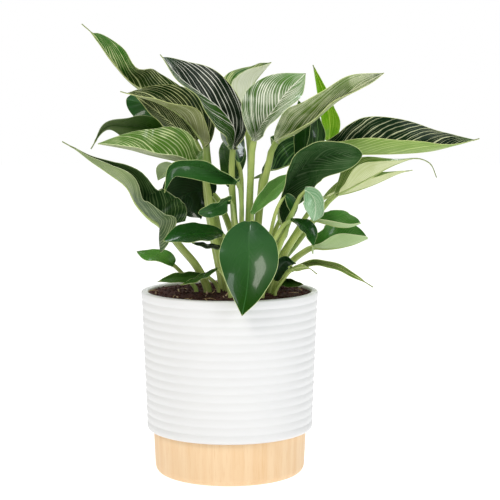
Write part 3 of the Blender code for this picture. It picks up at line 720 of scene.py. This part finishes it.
    low, high = s["faceRoughness"] if face else s["underRoughness"]
    rough = add("MapRange", [cloud, 0.3, 0.7, low, high], **smoothStep)
    relief = add("Math", [stripe, 0.6, fine], operation="MULTIPLY_ADD")
    bump = add("Bump", {"Height": relief, "Strength": 0.22, "Distance": 0.0004})
    shader = add("BsdfPrincipled", {
        "Base Color": color, "Roughness": rough, "IOR": 1.45, "Normal": bump,
        "Specular IOR Level": 0.2 if face else 0.15,
        "Coat Weight": 0.35 if face else 0.0, "Coat Roughness": s["coatRoughness"]})
    add("OutputMaterial", [shader])
    return material


def marginMaterial(name, code):
    # the thin cut edge of a blade, where the tissue is clear and pale
    material, add = newMaterial(name)
    place = add("TexCoord", out="Object")
    cloud = add("TexNoise", {"Vector": place, "Scale": 90.0, "Detail": 2.0})   # about 11 mm
    pale = hexColor(code)
    darker = (*(c * 0.75 for c in pale[:3]), 1.0)
    color = add("Mix", {0: add("MapRange", [cloud, 0.3, 0.7]), 6: darker, 7: pale}, **colorMix)
    shader = add("BsdfPrincipled", {"Base Color": color, "Roughness": 0.5, "IOR": 1.45})
    add("OutputMaterial", [shader])
    return material


stalkSet = {
    "green": "#b4c26e", "pale": "#dfe8b4", "shade": "#86a250", "rib": "#b9c883",
}


def stalkMaterial(s):
    # a fleshy leaf stalk: smooth yellow-green skin with fine lines along it
    material, add = newMaterial("leafStalk")
    uv = add("UVMap", uv_map="UVMap")
    lines = add("TexNoise", {"Vector": add("Mapping", {"Vector": uv, "Scale": (2.5, 14, 1)}),
                             "Scale": 1.0, "Detail": 2.0})
    place = add("TexCoord", out="Object")
    cloud = add("TexNoise", {"Vector": place, "Scale": 30.0, "Detail": 2.0})   # about 33 mm
    base = add("Mix", {0: add("MapRange", [cloud, 0.35, 0.65]),
                       6: hexColor(s["shade"]), 7: hexColor(s["green"])}, **colorMix)
    color = add("Mix", {0: add("MapRange", [lines, 0.5, 0.75, 0.0, 0.8]), 6: base, 7: hexColor(s["pale"])},
                **colorMix)
    # under the blade the stalk runs on as a paler midrib
    along = add("SeparateXYZ", [uv])
    color = add("Mix", {0: add("MapRange", [along, 0.42, 0.5, 0.0, 0.75]), 6: color, 7: hexColor(s["rib"])},
                **colorMix)
    bump = add("Bump", {"Height": lines, "Strength": 0.3, "Distance": 0.0004})
    rough = add("MapRange", [cloud, 0, 1, 0.26, 0.4])
    shader = add("BsdfPrincipled", {"Base Color": color, "Roughness": rough, "IOR": 1.45, "Normal": bump,
                                    "Specular IOR Level": 0.35})
    add("OutputMaterial", [shader])
    return material


# leaf forms

growSet = {   # mm, degrees, and shares of the blade's length or of the stalk's radius
    "blade": 0.4, "tipHalfWidth": 0.4,
    "wideFrom": 30, "alongWide": 56, "alongSmall": 36, "acrossHalf": 10,
    "endRows": 0.85,       # how far the rows crowd to the base and the tip
    "stalkRings": 16, "ribRings": 22, "stalkSides": 14, "pathPoints": 900,
    "cup": 12.0,           # how far each half curls up from midrib to margin
    "foldedFrom": 0.06, "foldedHalfWidth": 1.5,
    "stalkBase": 1.3, "stalkPerWidth": 0.028, "stalkTaper": 0.25,
    "neck": 14.0, "neckDrop": 0.95,   # the stalk slips under the blade in this length
    "ribSwell": 0.66, "ribFade": 8, "ribTaper": 0.22, "ribTip": 0.04, "ribSink": 0.6, "ribTilt": 0.2,
    "foot": 156.0, "uprightTo": (168.0, 172.5),
    "wave": 0.7, "waves": 3.2, "waveFrom": 0.4, "waveReach": 3, "phaseStep": 1.7,
    "lobeTo": 0.3, "lobeReach": 1.5,
    "smoothAngle": 48,
}
viewer = (0, -1, 0.35)
upwards = (0, 0.35, 1)


def unit(vectors):
    return vectors / np.linalg.norm(vectors, axis=-1, keepdims=True)


def smoothPath(points, count):
    # a Catmull-Rom curve through the points, spaced by the root of their distance
    ends = np.vstack([2 * points[0] - points[1], points, 2 * points[-1] - points[-2]])
    steps = np.sqrt(np.linalg.norm(np.diff(points, axis=0), axis=1))
    steps = np.concatenate([steps[:1], steps, steps[-1:]])
    times = np.concatenate([[0], np.cumsum(steps)]) - steps[0]
    path = []
    for t in np.linspace(0, times[-2], count):
        i = min(max(np.searchsorted(times, t, side="right") - 2, 0), len(points) - 2)
        t0, t1, t2, t3 = times[i:i + 4]
        p0, p1, p2, p3 = ends[i:i + 4]
        a1 = ((t1 - t) * p0 + (t - t0) * p1) / (t1 - t0)
        a2 = ((t2 - t) * p1 + (t - t1) * p2) / (t2 - t1)
        a3 = ((t3 - t) * p2 + (t - t2) * p3) / (t3 - t2)
        b1 = ((t2 - t) * a1 + (t - t0) * a2) / (t2 - t0)
        b2 = ((t3 - t) * a2 + (t - t1) * a3) / (t3 - t1)
        path.append(((t2 - t) * b1 + (t - t1) * b2) / (t2 - t1))
    return np.array(path)


def eased(values, u):
    place = u * (len(values) - 1)
    first = np.minimum(place.astype(int), len(values) - 2)
    step = place - first
    step = step * step * (3 - 2 * step)
    values = np.array(values, float)
    return values[first] * (1 - step) + values[first + 1] * step


class Spine:
    # the line that a leaf grows along, from its foot in the soil to its tip, with a frame
    def __init__(self, piece, s):
        rib = np.array(piece["rib"], float)
        stalk = np.array(piece["stalk"], float).reshape(-1, 3)
        foot = np.array([[*piece["foot"], z] for z in (s["foot"], *s["uprightTo"])], float)
        self.path = smoothPath(np.vstack([foot, stalk, rib]), s["pathPoints"])
        steps = np.linalg.norm(np.diff(self.path, axis=0), axis=1)
        self.run = np.concatenate([[0], np.cumsum(steps)])
        self.heads = np.stack([np.gradient(c, self.run) for c in self.path.T], -1)
        self.joint = self.run[np.linalg.norm(self.path - rib[0], axis=1).argmin()]
        self.end = self.run[-1]

    def at(self, distance):
        place = np.stack([np.interp(distance, self.run, c) for c in self.path.T], -1)
        head = unit(np.stack([np.interp(distance, self.run, c) for c in self.heads.T], -1))
        return place, head


def leafGrid(name, points):
    # a flat grid whose rows run along the leaf, laid on a table of points; its UV map stays as made
    rows, columns = points.shape[:2]
    deselectAll()
    bpy.ops.mesh.primitive_grid_add(x_subdivisions=rows - 1, y_subdivisions=columns - 1, size=1)
    item = bpy.context.object
    item.name = item.data.name = name
    # the grid's vertices run along x first, so the table is turned to match
    item.data.vertices.foreach_set("co", (points.transpose(1, 0, 2) * mm).reshape(-1))
    item.data.update()
    return item


def bladePoints(piece, spine, s):
    count = s["alongWide"] if piece["width"] > s["wideFrom"] else s["alongSmall"]
    # rows closer together at the base and the tip
    t = np.linspace(0, 1, count + 1)
    u = t * (1 - s["endRows"]) + s["endRows"] * (1 - np.cos(np.pi * t)) / 2
    middle, head = spine.at(spine.joint + u * (spine.end - spine.joint))
    facing = np.array(piece["facing"], float)
    normal = unit(facing - (head @ facing)[:, None] * head)
    across = np.cross(head, normal)
    broadest, base, tip = piece["outline"]
    # the last share of the length is drawn out to a thread
    w = np.clip(u / (1 - piece["drip"]), 0, 1)
    rise = np.sin(np.pi / 2 * np.clip(w / broadest, 0, 1)) ** base
    fall = np.cos(np.pi / 2 * np.clip((w - broadest) / (1 - broadest), 0, 1))
    shape = rise * np.maximum(fall, 0) ** tip
    half = np.maximum(piece["width"] / 2 * shape, s["tipHalfWidth"])
    start = np.clip(u / s["foldedFrom"], 0, 1)
    fold = np.minimum(start * start * (3 - 2 * start), half / s["foldedHalfWidth"])
    fold = np.minimum(fold, 1)

    rows = s["acrossHalf"]
    steps = (np.arange(rows) + 0.5) / rows
    tau = np.linspace(0, 1, rows + 1)[1:]
    sides = []
    fullness = half / half.max()
    for side, angles in ((-1, piece["left"]), (1, piece["right"])):
        lift = fold * np.radians(eased(angles, u))
        turn = (lift[:, None] + np.radians(s["cup"]) * (2 * steps - 1)[None, :])[..., None]
        outward, raised = side * across[:, None], normal[:, None]
        ahead = outward * np.cos(turn) + raised * np.sin(turn)
        upward = raised * np.cos(turn) - outward * np.sin(turn)
        reach = np.cumsum(ahead, axis=1) * (half / rows)[:, None, None]
        ripple = np.sin(2 * np.pi * s["waves"] * u + piece["phase"] + side)
        ripple = ripple * piece["wave"] * fullness * np.clip(u / s["waveFrom"], 0, 1)
        reach = reach + upward * (ripple[:, None] * tau[None, :] ** s["waveReach"])[..., None]
        lobe = piece["lobe"] * np.clip(1 - u / s["lobeTo"], 0, 1) ** 2 * np.clip(fullness * 3, 0, 1)
        reach = reach - head[:, None] * (lobe[:, None] * tau[None, :] ** s["lobeReach"])[..., None]
        sides.append(middle[:, None] + reach)
    points = np.concatenate([sides[0][:, ::-1], middle[:, None], sides[1]], axis=1)
    spans = np.concatenate([tau[::-1], [0], tau])[None, :] * half[:, None]
    edges = half[:, None] - spans
    return points, spans, edges, across[0]


def tubePoints(piece, spine, first, s):
    # the stalk, which runs on under the blade as its midrib
    across = first
    radius = s["stalkBase"] + s["stalkPerWidth"] * piece["width"]
    facing = np.array(piece["facing"], float)
    rings = []
    angles = np.linspace(0, 2 * np.pi, s["stalkSides"] + 1)
    for at in np.linspace(spine.joint, 0, s["stalkRings"] + 1):
        place, head = spine.at(at)
        across = unit(across - (across @ head) * head)
        normal = np.cross(across, head)
        thick = radius * (1 + s["stalkTaper"] * (1 - at / spine.joint))
        under = s["neckDrop"] * radius * max(0.0, 1 - (spine.joint - at) / s["neck"]) ** 2
        rings.insert(0, (place - normal * under, across, normal, thick))
    for u in np.linspace(0, 1, s["ribRings"] + 1)[1:]:
        place, head = spine.at(spine.joint + u * (spine.end - spine.joint))
        normal = unit(facing - (head @ facing) * head)
        across = np.cross(head, normal)
        thick = radius * (s["ribSwell"] * math.exp(-s["ribFade"] * u) + s["ribTaper"] * (1 - u) + s["ribTip"])
        # it leans to stay under the blade's two halves
        left, right = (np.radians(eased(piece[side], np.array([u]))[0]) for side in ("left", "right"))
        tilt = (left - right) / 2 * min(u / s["ribTilt"], 1)
        below = normal * math.cos(tilt) + across * math.sin(tilt)
        rings.append((place - below * (thick + s["blade"] * s["ribSink"]), across, normal, thick))
    return np.array([[c + r * (a * np.cos(t) + n * np.sin(t)) for t in angles] for c, a, n, r in rings])


def growLeaf(piece, skins, stalkSkin, s):
    spine = Spine(piece, s)
    points, spans, edges, first = bladePoints(piece, spine, s)
    blade = leafGrid(piece["name"], points)
    for label, values in (("toRib", spans), ("toEdge", edges)):
        layer = blade.data.attributes.new(label, "FLOAT", "POINT")
        layer.data.foreach_set("value", values.T.reshape(-1).astype(np.float32))
    for material in skins:
        blade.data.materials.append(material)
    bpy.ops.object.mode_set(mode="EDIT")
    bpy.ops.mesh.select_all(action="SELECT")
    bpy.ops.mesh.flip_normals()
    bpy.ops.object.mode_set(mode="OBJECT")
    thicken = blade.modifiers.new("thickness", "SOLIDIFY")
    thicken.thickness = s["blade"] * mm
    thicken.offset = -1
    thicken.material_offset = 1
    thicken.material_offset_rim = 2
    bpy.ops.object.modifier_apply(modifier=thicken.name)

    stalk = leafGrid(piece["name"] + "Stalk", tubePoints(piece, spine, first, s))
    bpy.ops.object.mode_set(mode="EDIT")
    bpy.ops.mesh.select_all(action="SELECT")
    bpy.ops.mesh.remove_doubles(threshold=0.000001)
    bpy.ops.mesh.select_all(action="DESELECT")
    bpy.ops.mesh.select_non_manifold()
    bpy.ops.mesh.fill_holes(sides=0)
    bpy.ops.mesh.select_all(action="SELECT")
    bpy.ops.mesh.normals_make_consistent(inside=False)
    bpy.ops.object.mode_set(mode="OBJECT")
    stalk.data.materials.append(stalkSkin)

    deselectAll()
    blade.select_set(True)
    stalk.select_set(True)
    bpy.context.view_layer.objects.active = blade
    bpy.ops.object.join()
    bpy.ops.object.shade_smooth_by_angle(angle=math.radians(s["smoothAngle"]))
    settle(blade, [piece["node"]])


def leaf(node, slotName, look, foot, stalk, rib, width, outline, left, right, **more):
    # one leaf in millimetres and degrees, as its CAD node has it, with its look
    first, *others = node.split("_")
    return {"name": first + "".join(word.title() for word in others), "node": "leaf_" + node,
            "slot": slotName + "_leaf", "look": look, "foot": foot, "stalk": stalk, "rib": rib,
            "width": width, "outline": outline, "left": left, "right": right,
            "drip": 0.0, "lobe": 0.0, "wave": growSet["wave"], "facing": viewer, **more}


leftLeaves = [
    leaf("top_left", "striped", "oliveTip", (-2, 27), [(-15, 36, 238), (-23, 36, 300)],
         [(-26, 36, 321), (-59, 35, 340), (-90, 27, 361), (-105, 21, 378), (-126, 18, 407), (-138, 20, 418)],
         50, (0.31, 0.5, 0.6), (80, 80, 80, 80, 75, 60), (-15, 0, 5, 60, 5, 10), drip=0.09),
    leaf("upper_left", "striped", "olive", (-7, 2), [(-19, 4, 240), (-23, 5, 284)],
         [(-22, 4, 303), (-29, -2, 316), (-42, -8, 331), (-63, -14, 344), (-99, -20, 355)],
         57, (0.38, 0.9, 1.0), (105, 105, 80, 75), (45, -10, -15, -5), drip=0.06),
    leaf("left_under", "striped", "olive", (0, 10), [(-16, 12, 235), (-24, 12, 287)],
         [(-31, 7, 309), (-48, 2, 321), (-66, -1, 336), (-86, -6, 351)],
         30, (0.42, 0.4, 1.2), (55, 50, 35), (-5, -25, 5)),
    leaf("left_back", "green", "gloss", (1, 36), [(-13, 44, 233), (-21, 49, 290)],
         [(-26, 48, 319), (-54, 56, 332), (-79, 60, 343), (-100, 58, 348)],
         46, (0.55, 0.5, 0.5), (-10, 25, -25), (-25, -40, -35)),
    leaf("left_droop", "green", "droop", (2, 19), [(-17, 29, 239), (-32, 32, 298)],
         [(-41, 30, 313), (-67, 24, 319), (-93, 15, 322), (-115, 8, 322), (-129, 4, 302)],
         40, (0.3, 0.3, 1.4), (50, 15, 70), (95, 70, 80), drip=0.04),
    leaf("left_pale", "cream", "cream", (-3, -10), [(-16, -12, 232), (-21, -10, 270)],
         [(-29, -10, 287), (-42, -14, 291), (-72, -27, 298), (-90, -33, 303), (-118, -38, 308)],
         59, (0.25, 0.4, 0.9), (75, 80, 85), (75, -10, -20)),
    leaf("left_shade", "green", "shade", (10, 19), [(2, 20, 220), (-9, 18, 249)],
         [(-15, 20, 259), (-26, 17, 262), (-39, 13, 260), (-51, 10, 251), (-59, 8, 240)],
         56, (0.45, 0.5, 0.9), (0, 0, 0), (0, -10, -20)),
    leaf("far_left", "green", "paleOuter", (-20, -15), [(-30, -22, 195), (-45, -28, 214)],
         [(-60, -33, 233), (-72, -36, 241), (-84, -38, 254), (-92, -40, 269), (-109, -41, 282),
          (-125, -41, 293), (-138, -40, 303), (-150, -39, 310)],
         70, (0.2, 0.2, 2.2), (100, 100, 105, 110, 115), (35, 45, 60, 60, 60), lobe=14.0, wave=0.3),
    leaf("centre_left_arch", "green", "gloss", (10, -14), [(11, -16, 219), (11, -16, 256)],
         [(8, -18, 272), (-14, -30, 282), (-35, -42, 288), (-51, -50, 285), (-57, -58, 265)],
         26, (0.43, 0.4, 1.1), (30, 10, -50), (110, 80, 70)),
    leaf("centre_left_small", "green", "gloss", (8, -27), [(7, -30, 216), (4, -30, 244)],
         [(2, -34, 257), (-10, -44, 251), (-20, -52, 248), (-27, -56, 247)],
         17, (0.43, 0.3, 0.6), (-70, 10, -40), (80, 75, 40)),
    leaf("low_left", "green", "dark", (4, -38), [(2, -38, 201), (-2, -40, 215)],
         [(-5, -48, 227), (-24, -63, 229), (-41, -73, 228), (-57, -80, 224)],
         28, (0.53, 0.6, 0.9), (40, 45, 35), (-20, -25, -10)),
    leaf("low_left_thin", "green", "shade", (2, -46), [(-1, -46, 199)],
         [(-4, -46, 213), (-19, -52, 217), (-33, -56, 220)],
         10, (0.43, 0.5, 1.0), (50, 50, 35), (-40, -50, -20)),
    leaf("small_left", "green", "fresh", (-31, -12), [(-43, -16, 187)],
         [(-51, -20, 196), (-63, -26, 204), (-75, -30, 207), (-84, -34, 210)],
         19, (0.43, 0.4, 0.8), (60, 50, -15), (35, -35, -50), wave=0.2),
    leaf("soil_left", "green", "deep", (-10, -18), [(-15, -24, 182)],
         [(-22, -27, 187), (-36, -32, 187), (-51, -36, 186), (-65, -39, 183)],
         12, (0.48, 0.6, 1.1), (30, 20, 5), (55, 60, 35)),
    leaf("soil_left_front", "pale", "deep", (1, -50), [(-4, -50, 189)],
         [(-10, -51, 196), (-20, -55, 192), (-31, -60, 187), (-43, -64, 183)],
         10, (0.39, 0.5, 1.1), (45, 45, 35), (-60, -50, -30)),
]

centreLeaves = [
    leaf("front_heart", "green", "plain", (14, -32), [(14, -40, 212), (16, -46, 232)],
         [(19, -50, 239), (18, -70, 224), (18, -85, 204), (16, -94, 181), (12, -97, 160)],
         54, (0.46, 0.9, 1.0), (25, 15, 20), (25, 15, 20), lobe=1.0),
    leaf("top_centre", "striped", "inkLong", (10, 0), [(4, 2, 241), (2, 2, 283)],
         [(3, 0, 301), (5, -6, 319), (-5, -12, 336), (-23, -18, 351), (-44, -24, 367), (-62, -28, 388)],
         53, (0.48, 0.6, 0.7), (75, 40, 65, 70), (70, 60, 20, -15), drip=0.03),
    leaf("top_back", "cream", "creamBack", (20, 42), [(19, 50, 242), (19, 51, 300)],
         [(15, 46, 330), (15, 46, 349), (22, 44, 363), (39, 34, 383)],
         54, (0.42, 0.7, 1.2), (35, 20, -40, -15), (115, 120, 120, 115)),
    leaf("centre_cup", "cream", "white", (16, -8), [(18, -10, 237), (20, -12, 283)],
         [(22, -14, 309), (29, -20, 324), (40, -26, 338), (52, -30, 354), (69, -32, 371)],
         61, (0.44, 0.9, 1.0), (90, 20, 5), (60, 65, 10)),
    leaf("mid_green", "green", "young", (19, -22), [(21, -21, 210), (22, -21, 229)],
         [(21, -22, 243), (31, -20, 256), (44, -14, 268), (58, -10, 280)],
         20, (0.52, 0.5, 1.0), (65, 50, 20), (45, 35, 20)),
    leaf("back_centre", "green", "deep", (12, 27), [(7, 29, 220), (3, 30, 248)],
         [(1, 32, 264), (2, 46, 279), (2, 70, 297), (3, 96, 306), (4, 116, 296)],
         28, (0.38, 0.5, 1.0), (25, 20, 10), (25, 20, 10), facing=upwards),
    leaf("back_left", "green", "deep", (-2, 46), [(-17, 53, 214), (-23, 55, 243)],
         [(-28, 57, 258), (-37, 64, 270), (-52, 77, 276), (-64, 90, 277), (-73, 100, 268)],
         44, (0.38, 0.5, 1.0), (25, 20, 10), (25, 20, 10), facing=upwards),
    leaf("back_high", "striped", "banded", (11, 10), [(11, 12, 240), (11, 13, 273)],
         [(9, 16, 289), (4, 32, 301), (0, 56, 315), (-3, 84, 322), (-4, 106, 314)],
         24, (0.38, 0.5, 1.0), (25, 20, 10), (25, 20, 10), facing=upwards),
    leaf("back_right", "striped", "banded", (19, 14), [(26, 16, 230), (29, 18, 258)],
         [(32, 24, 277), (47, 46, 281), (64, 56, 287), (81, 58, 294), (95, 56, 301)],
         66, (0.4, 0.9, 0.9), (50, 15, 20), (-100, -110, -100)),
]

rightLeaves = [
    leaf("right_twist", "cream", "bookCream", (24, -2), [(28, -2, 246), (36, -5, 287)],
         [(42, -8, 308), (61, -13, 318), (75, -15, 327), (99, -14, 347), (116, -11, 358), (142, -6, 372)],
         62, (0.3, 0.9, 1.1), (45, 70, 35), (75, 80, 50)),
    leaf("new_lime", "lime", "lime", (31, 40), [(57, 40, 238), (84, 32, 286)],
         [(93, 26, 308), (94, 24, 330), (88, 24, 355), (78, 24, 380)],
         22, (0.29, 0.5, 1.2), (45, 40, 5), (5, 65, 75)),
    leaf("far_right", "striped", "inkWide", (29, -12), [(51, -11, 232), (73, -8, 278)],
         [(85, -8, 300), (106, -14, 299), (153, -20, 299), (184, -18, 301), (207, -14, 306), (230, -10, 312)],
         70, (0.3, 0.8, 1.0), (60, 25, 10), (95, 95, 75), drip=0.03),
    leaf("right_thread", "pale", "palm", (30, 16), [(62, 18, 211), (87, 16, 245)],
         [(98, 14, 258), (112, 15, 265), (135, 16, 277), (157, 16, 288), (175, 15, 293), (188, 14, 288),
          (194, 12, 275)],
         45, (0.33, 1.1, 1.2), (10, 0, -50, -60), (95, 120, 90, 65), drip=0.27),
    leaf("right_low", "pale", "palm", (32, 30), [(57, 36, 212), (78, 36, 244)],
         [(88, 36, 254), (116, 40, 260), (137, 39, 267), (162, 37, 278), (174, 36, 281)],
         35, (0.36, 1.1, 1.5), (-10, -10, -40), (95, 105, 115)),
    leaf("right_arch", "green", "streaked", (26, -27), [(36, -25, 205), (48, -23, 220)],
         [(52, -21, 229), (47, -19, 237), (46, -19, 247), (51, -18, 261), (61, -21, 278), (73, -29, 290),
          (87, -40, 297), (102, -49, 299), (119, -53, 299)],
         60, (0.6, 0.9, 0.5), (90, 90, 75), (40, 25, 20), wave=0.0),
    leaf("right_hanging", "green", "gloss", (30, -38), [(38, -36, 228), (44, -35, 250)],
         [(51, -35, 261), (57, -35, 253), (59, -36, 242)],
         11, (0.44, 0.4, 1.1), (15, 10, 20), (30, 30, 25), wave=0.2),
    leaf("right_mint", "pale", "mint", (30, -46), [(50, -44, 226), (60, -42, 252)],
         [(68, -44, 266), (76, -46, 260), (78, -47, 249), (76, -45, 238)],
         24, (0.42, 0.5, 0.9), (65, 55, -5), (30, 20, 25), wave=0.3),
    leaf("right_small", "green", "fresh", (36, -18), [(56, -22, 214), (68, -25, 231)],
         [(77, -34, 239), (88, -38, 236), (100, -40, 233), (110, -40, 233), (119, -38, 236)],
         31, (0.55, 0.6, 0.45), (5, 10, 20), (85, 90, 85), wave=0.0),
    leaf("right_pale", "pale", "fresh", (40, 2), [(59, 0, 198), (69, -1, 206)],
         [(77, -3, 211), (88, -6, 210), (101, -8, 211), (115, -8, 214), (128, -6, 219)],
         54, (0.6, 0.4, 0.45), (40, 0, 0), (80, 105, 90), wave=0.0),
    leaf("right_dark", "green", "dark", (24, -44), [(37, -46, 213), (47, -46, 232)],
         [(55, -48, 240), (66, -54, 236), (73, -56, 228), (76, -56, 216)],
         18, (0.52, 0.6, 1.1), (-45, -15, -35), (60, 50, 50)),
    leaf("back_fold", "green", "dark", (24, 20), [(43, 20, 225), (59, 20, 258)],
         [(65, 22, 280), (70, 28, 300), (71, 32, 323), (65, 34, 347)],
         22, (0.45, 0.5, 0.8), (30, 20, -15), (-25, 35, 55)),
    leaf("back_striped", "striped", "banded", (27, 8), [(52, 10, 231), (68, 12, 261)],
         [(74, 12, 278), (80, 14, 299), (83, 18, 319), (79, 22, 342)],
         19, (0.46, 0.4, 1.0), (30, 25, -15), (20, 45, 70)),
    leaf("low_right", "pale", "palm", (38, -12), [(47, -14, 183)],
         [(56, -16, 191), (76, -22, 198), (94, -28, 197), (112, -34, 189), (131, -40, 178)],
         16, (0.35, 0.4, 1.0), (90, 80, 45), (60, 55, 10), drip=0.1),
    leaf("low_right_curl", "pale", "palm", (42, -32), [(50, -32, 185)],
         [(57, -33, 193), (66, -36, 196), (73, -39, 195), (80, -41, 190)],
         7, (0.3, 0.4, 1.0), (-30, -25, -10), (-30, -25, 10), drip=0.3),
    leaf("low_right_dark", "green", "shade", (40, -26), [],
         [(43, -28, 182), (45, -31, 194), (52, -33, 201), (61, -35, 199)],
         15, (0.55, 0.5, 1.0), (50, 45, 80), (35, 5, -45)),
    leaf("soil_right", "green", "deep", (36, 22), [],
         [(43, 20, 176), (52, 15, 177), (61, 9, 176), (69, 5, 175)],
         14, (0.35, 0.4, 1.0), (65, 80, 65), (50, 25, -20)),
]


def growPlant(s):
    stalkSkin = stalkMaterial(stalkSet)
    skins = {}
    for name, look in leafLooks.items():
        skins[name] = (leafSkin(name + "Face", look, True, skinSet),
                       leafSkin(name + "Under", look, False, skinSet),
                       marginMaterial(name + "Margin", look["margin"]))
    pieces = leftLeaves + centreLeaves + rightLeaves
    for k, piece in enumerate(pieces):
        growLeaf({**piece, "phase": s["phaseStep"] * k}, skins[piece["look"]], stalkSkin, s)
    print("leaves grown:", len(pieces))


setPictureLook()
addCamera(cameraSet)
addStudio(studioSet)
addPot(potSet)
addWoodBase(woodSet)
soilEdge = addSoil(soilSet)
addCrumbs(crumbSet, soilEdge)
addFibres(fibreSet, soilEdge)
growPlant(growSet)
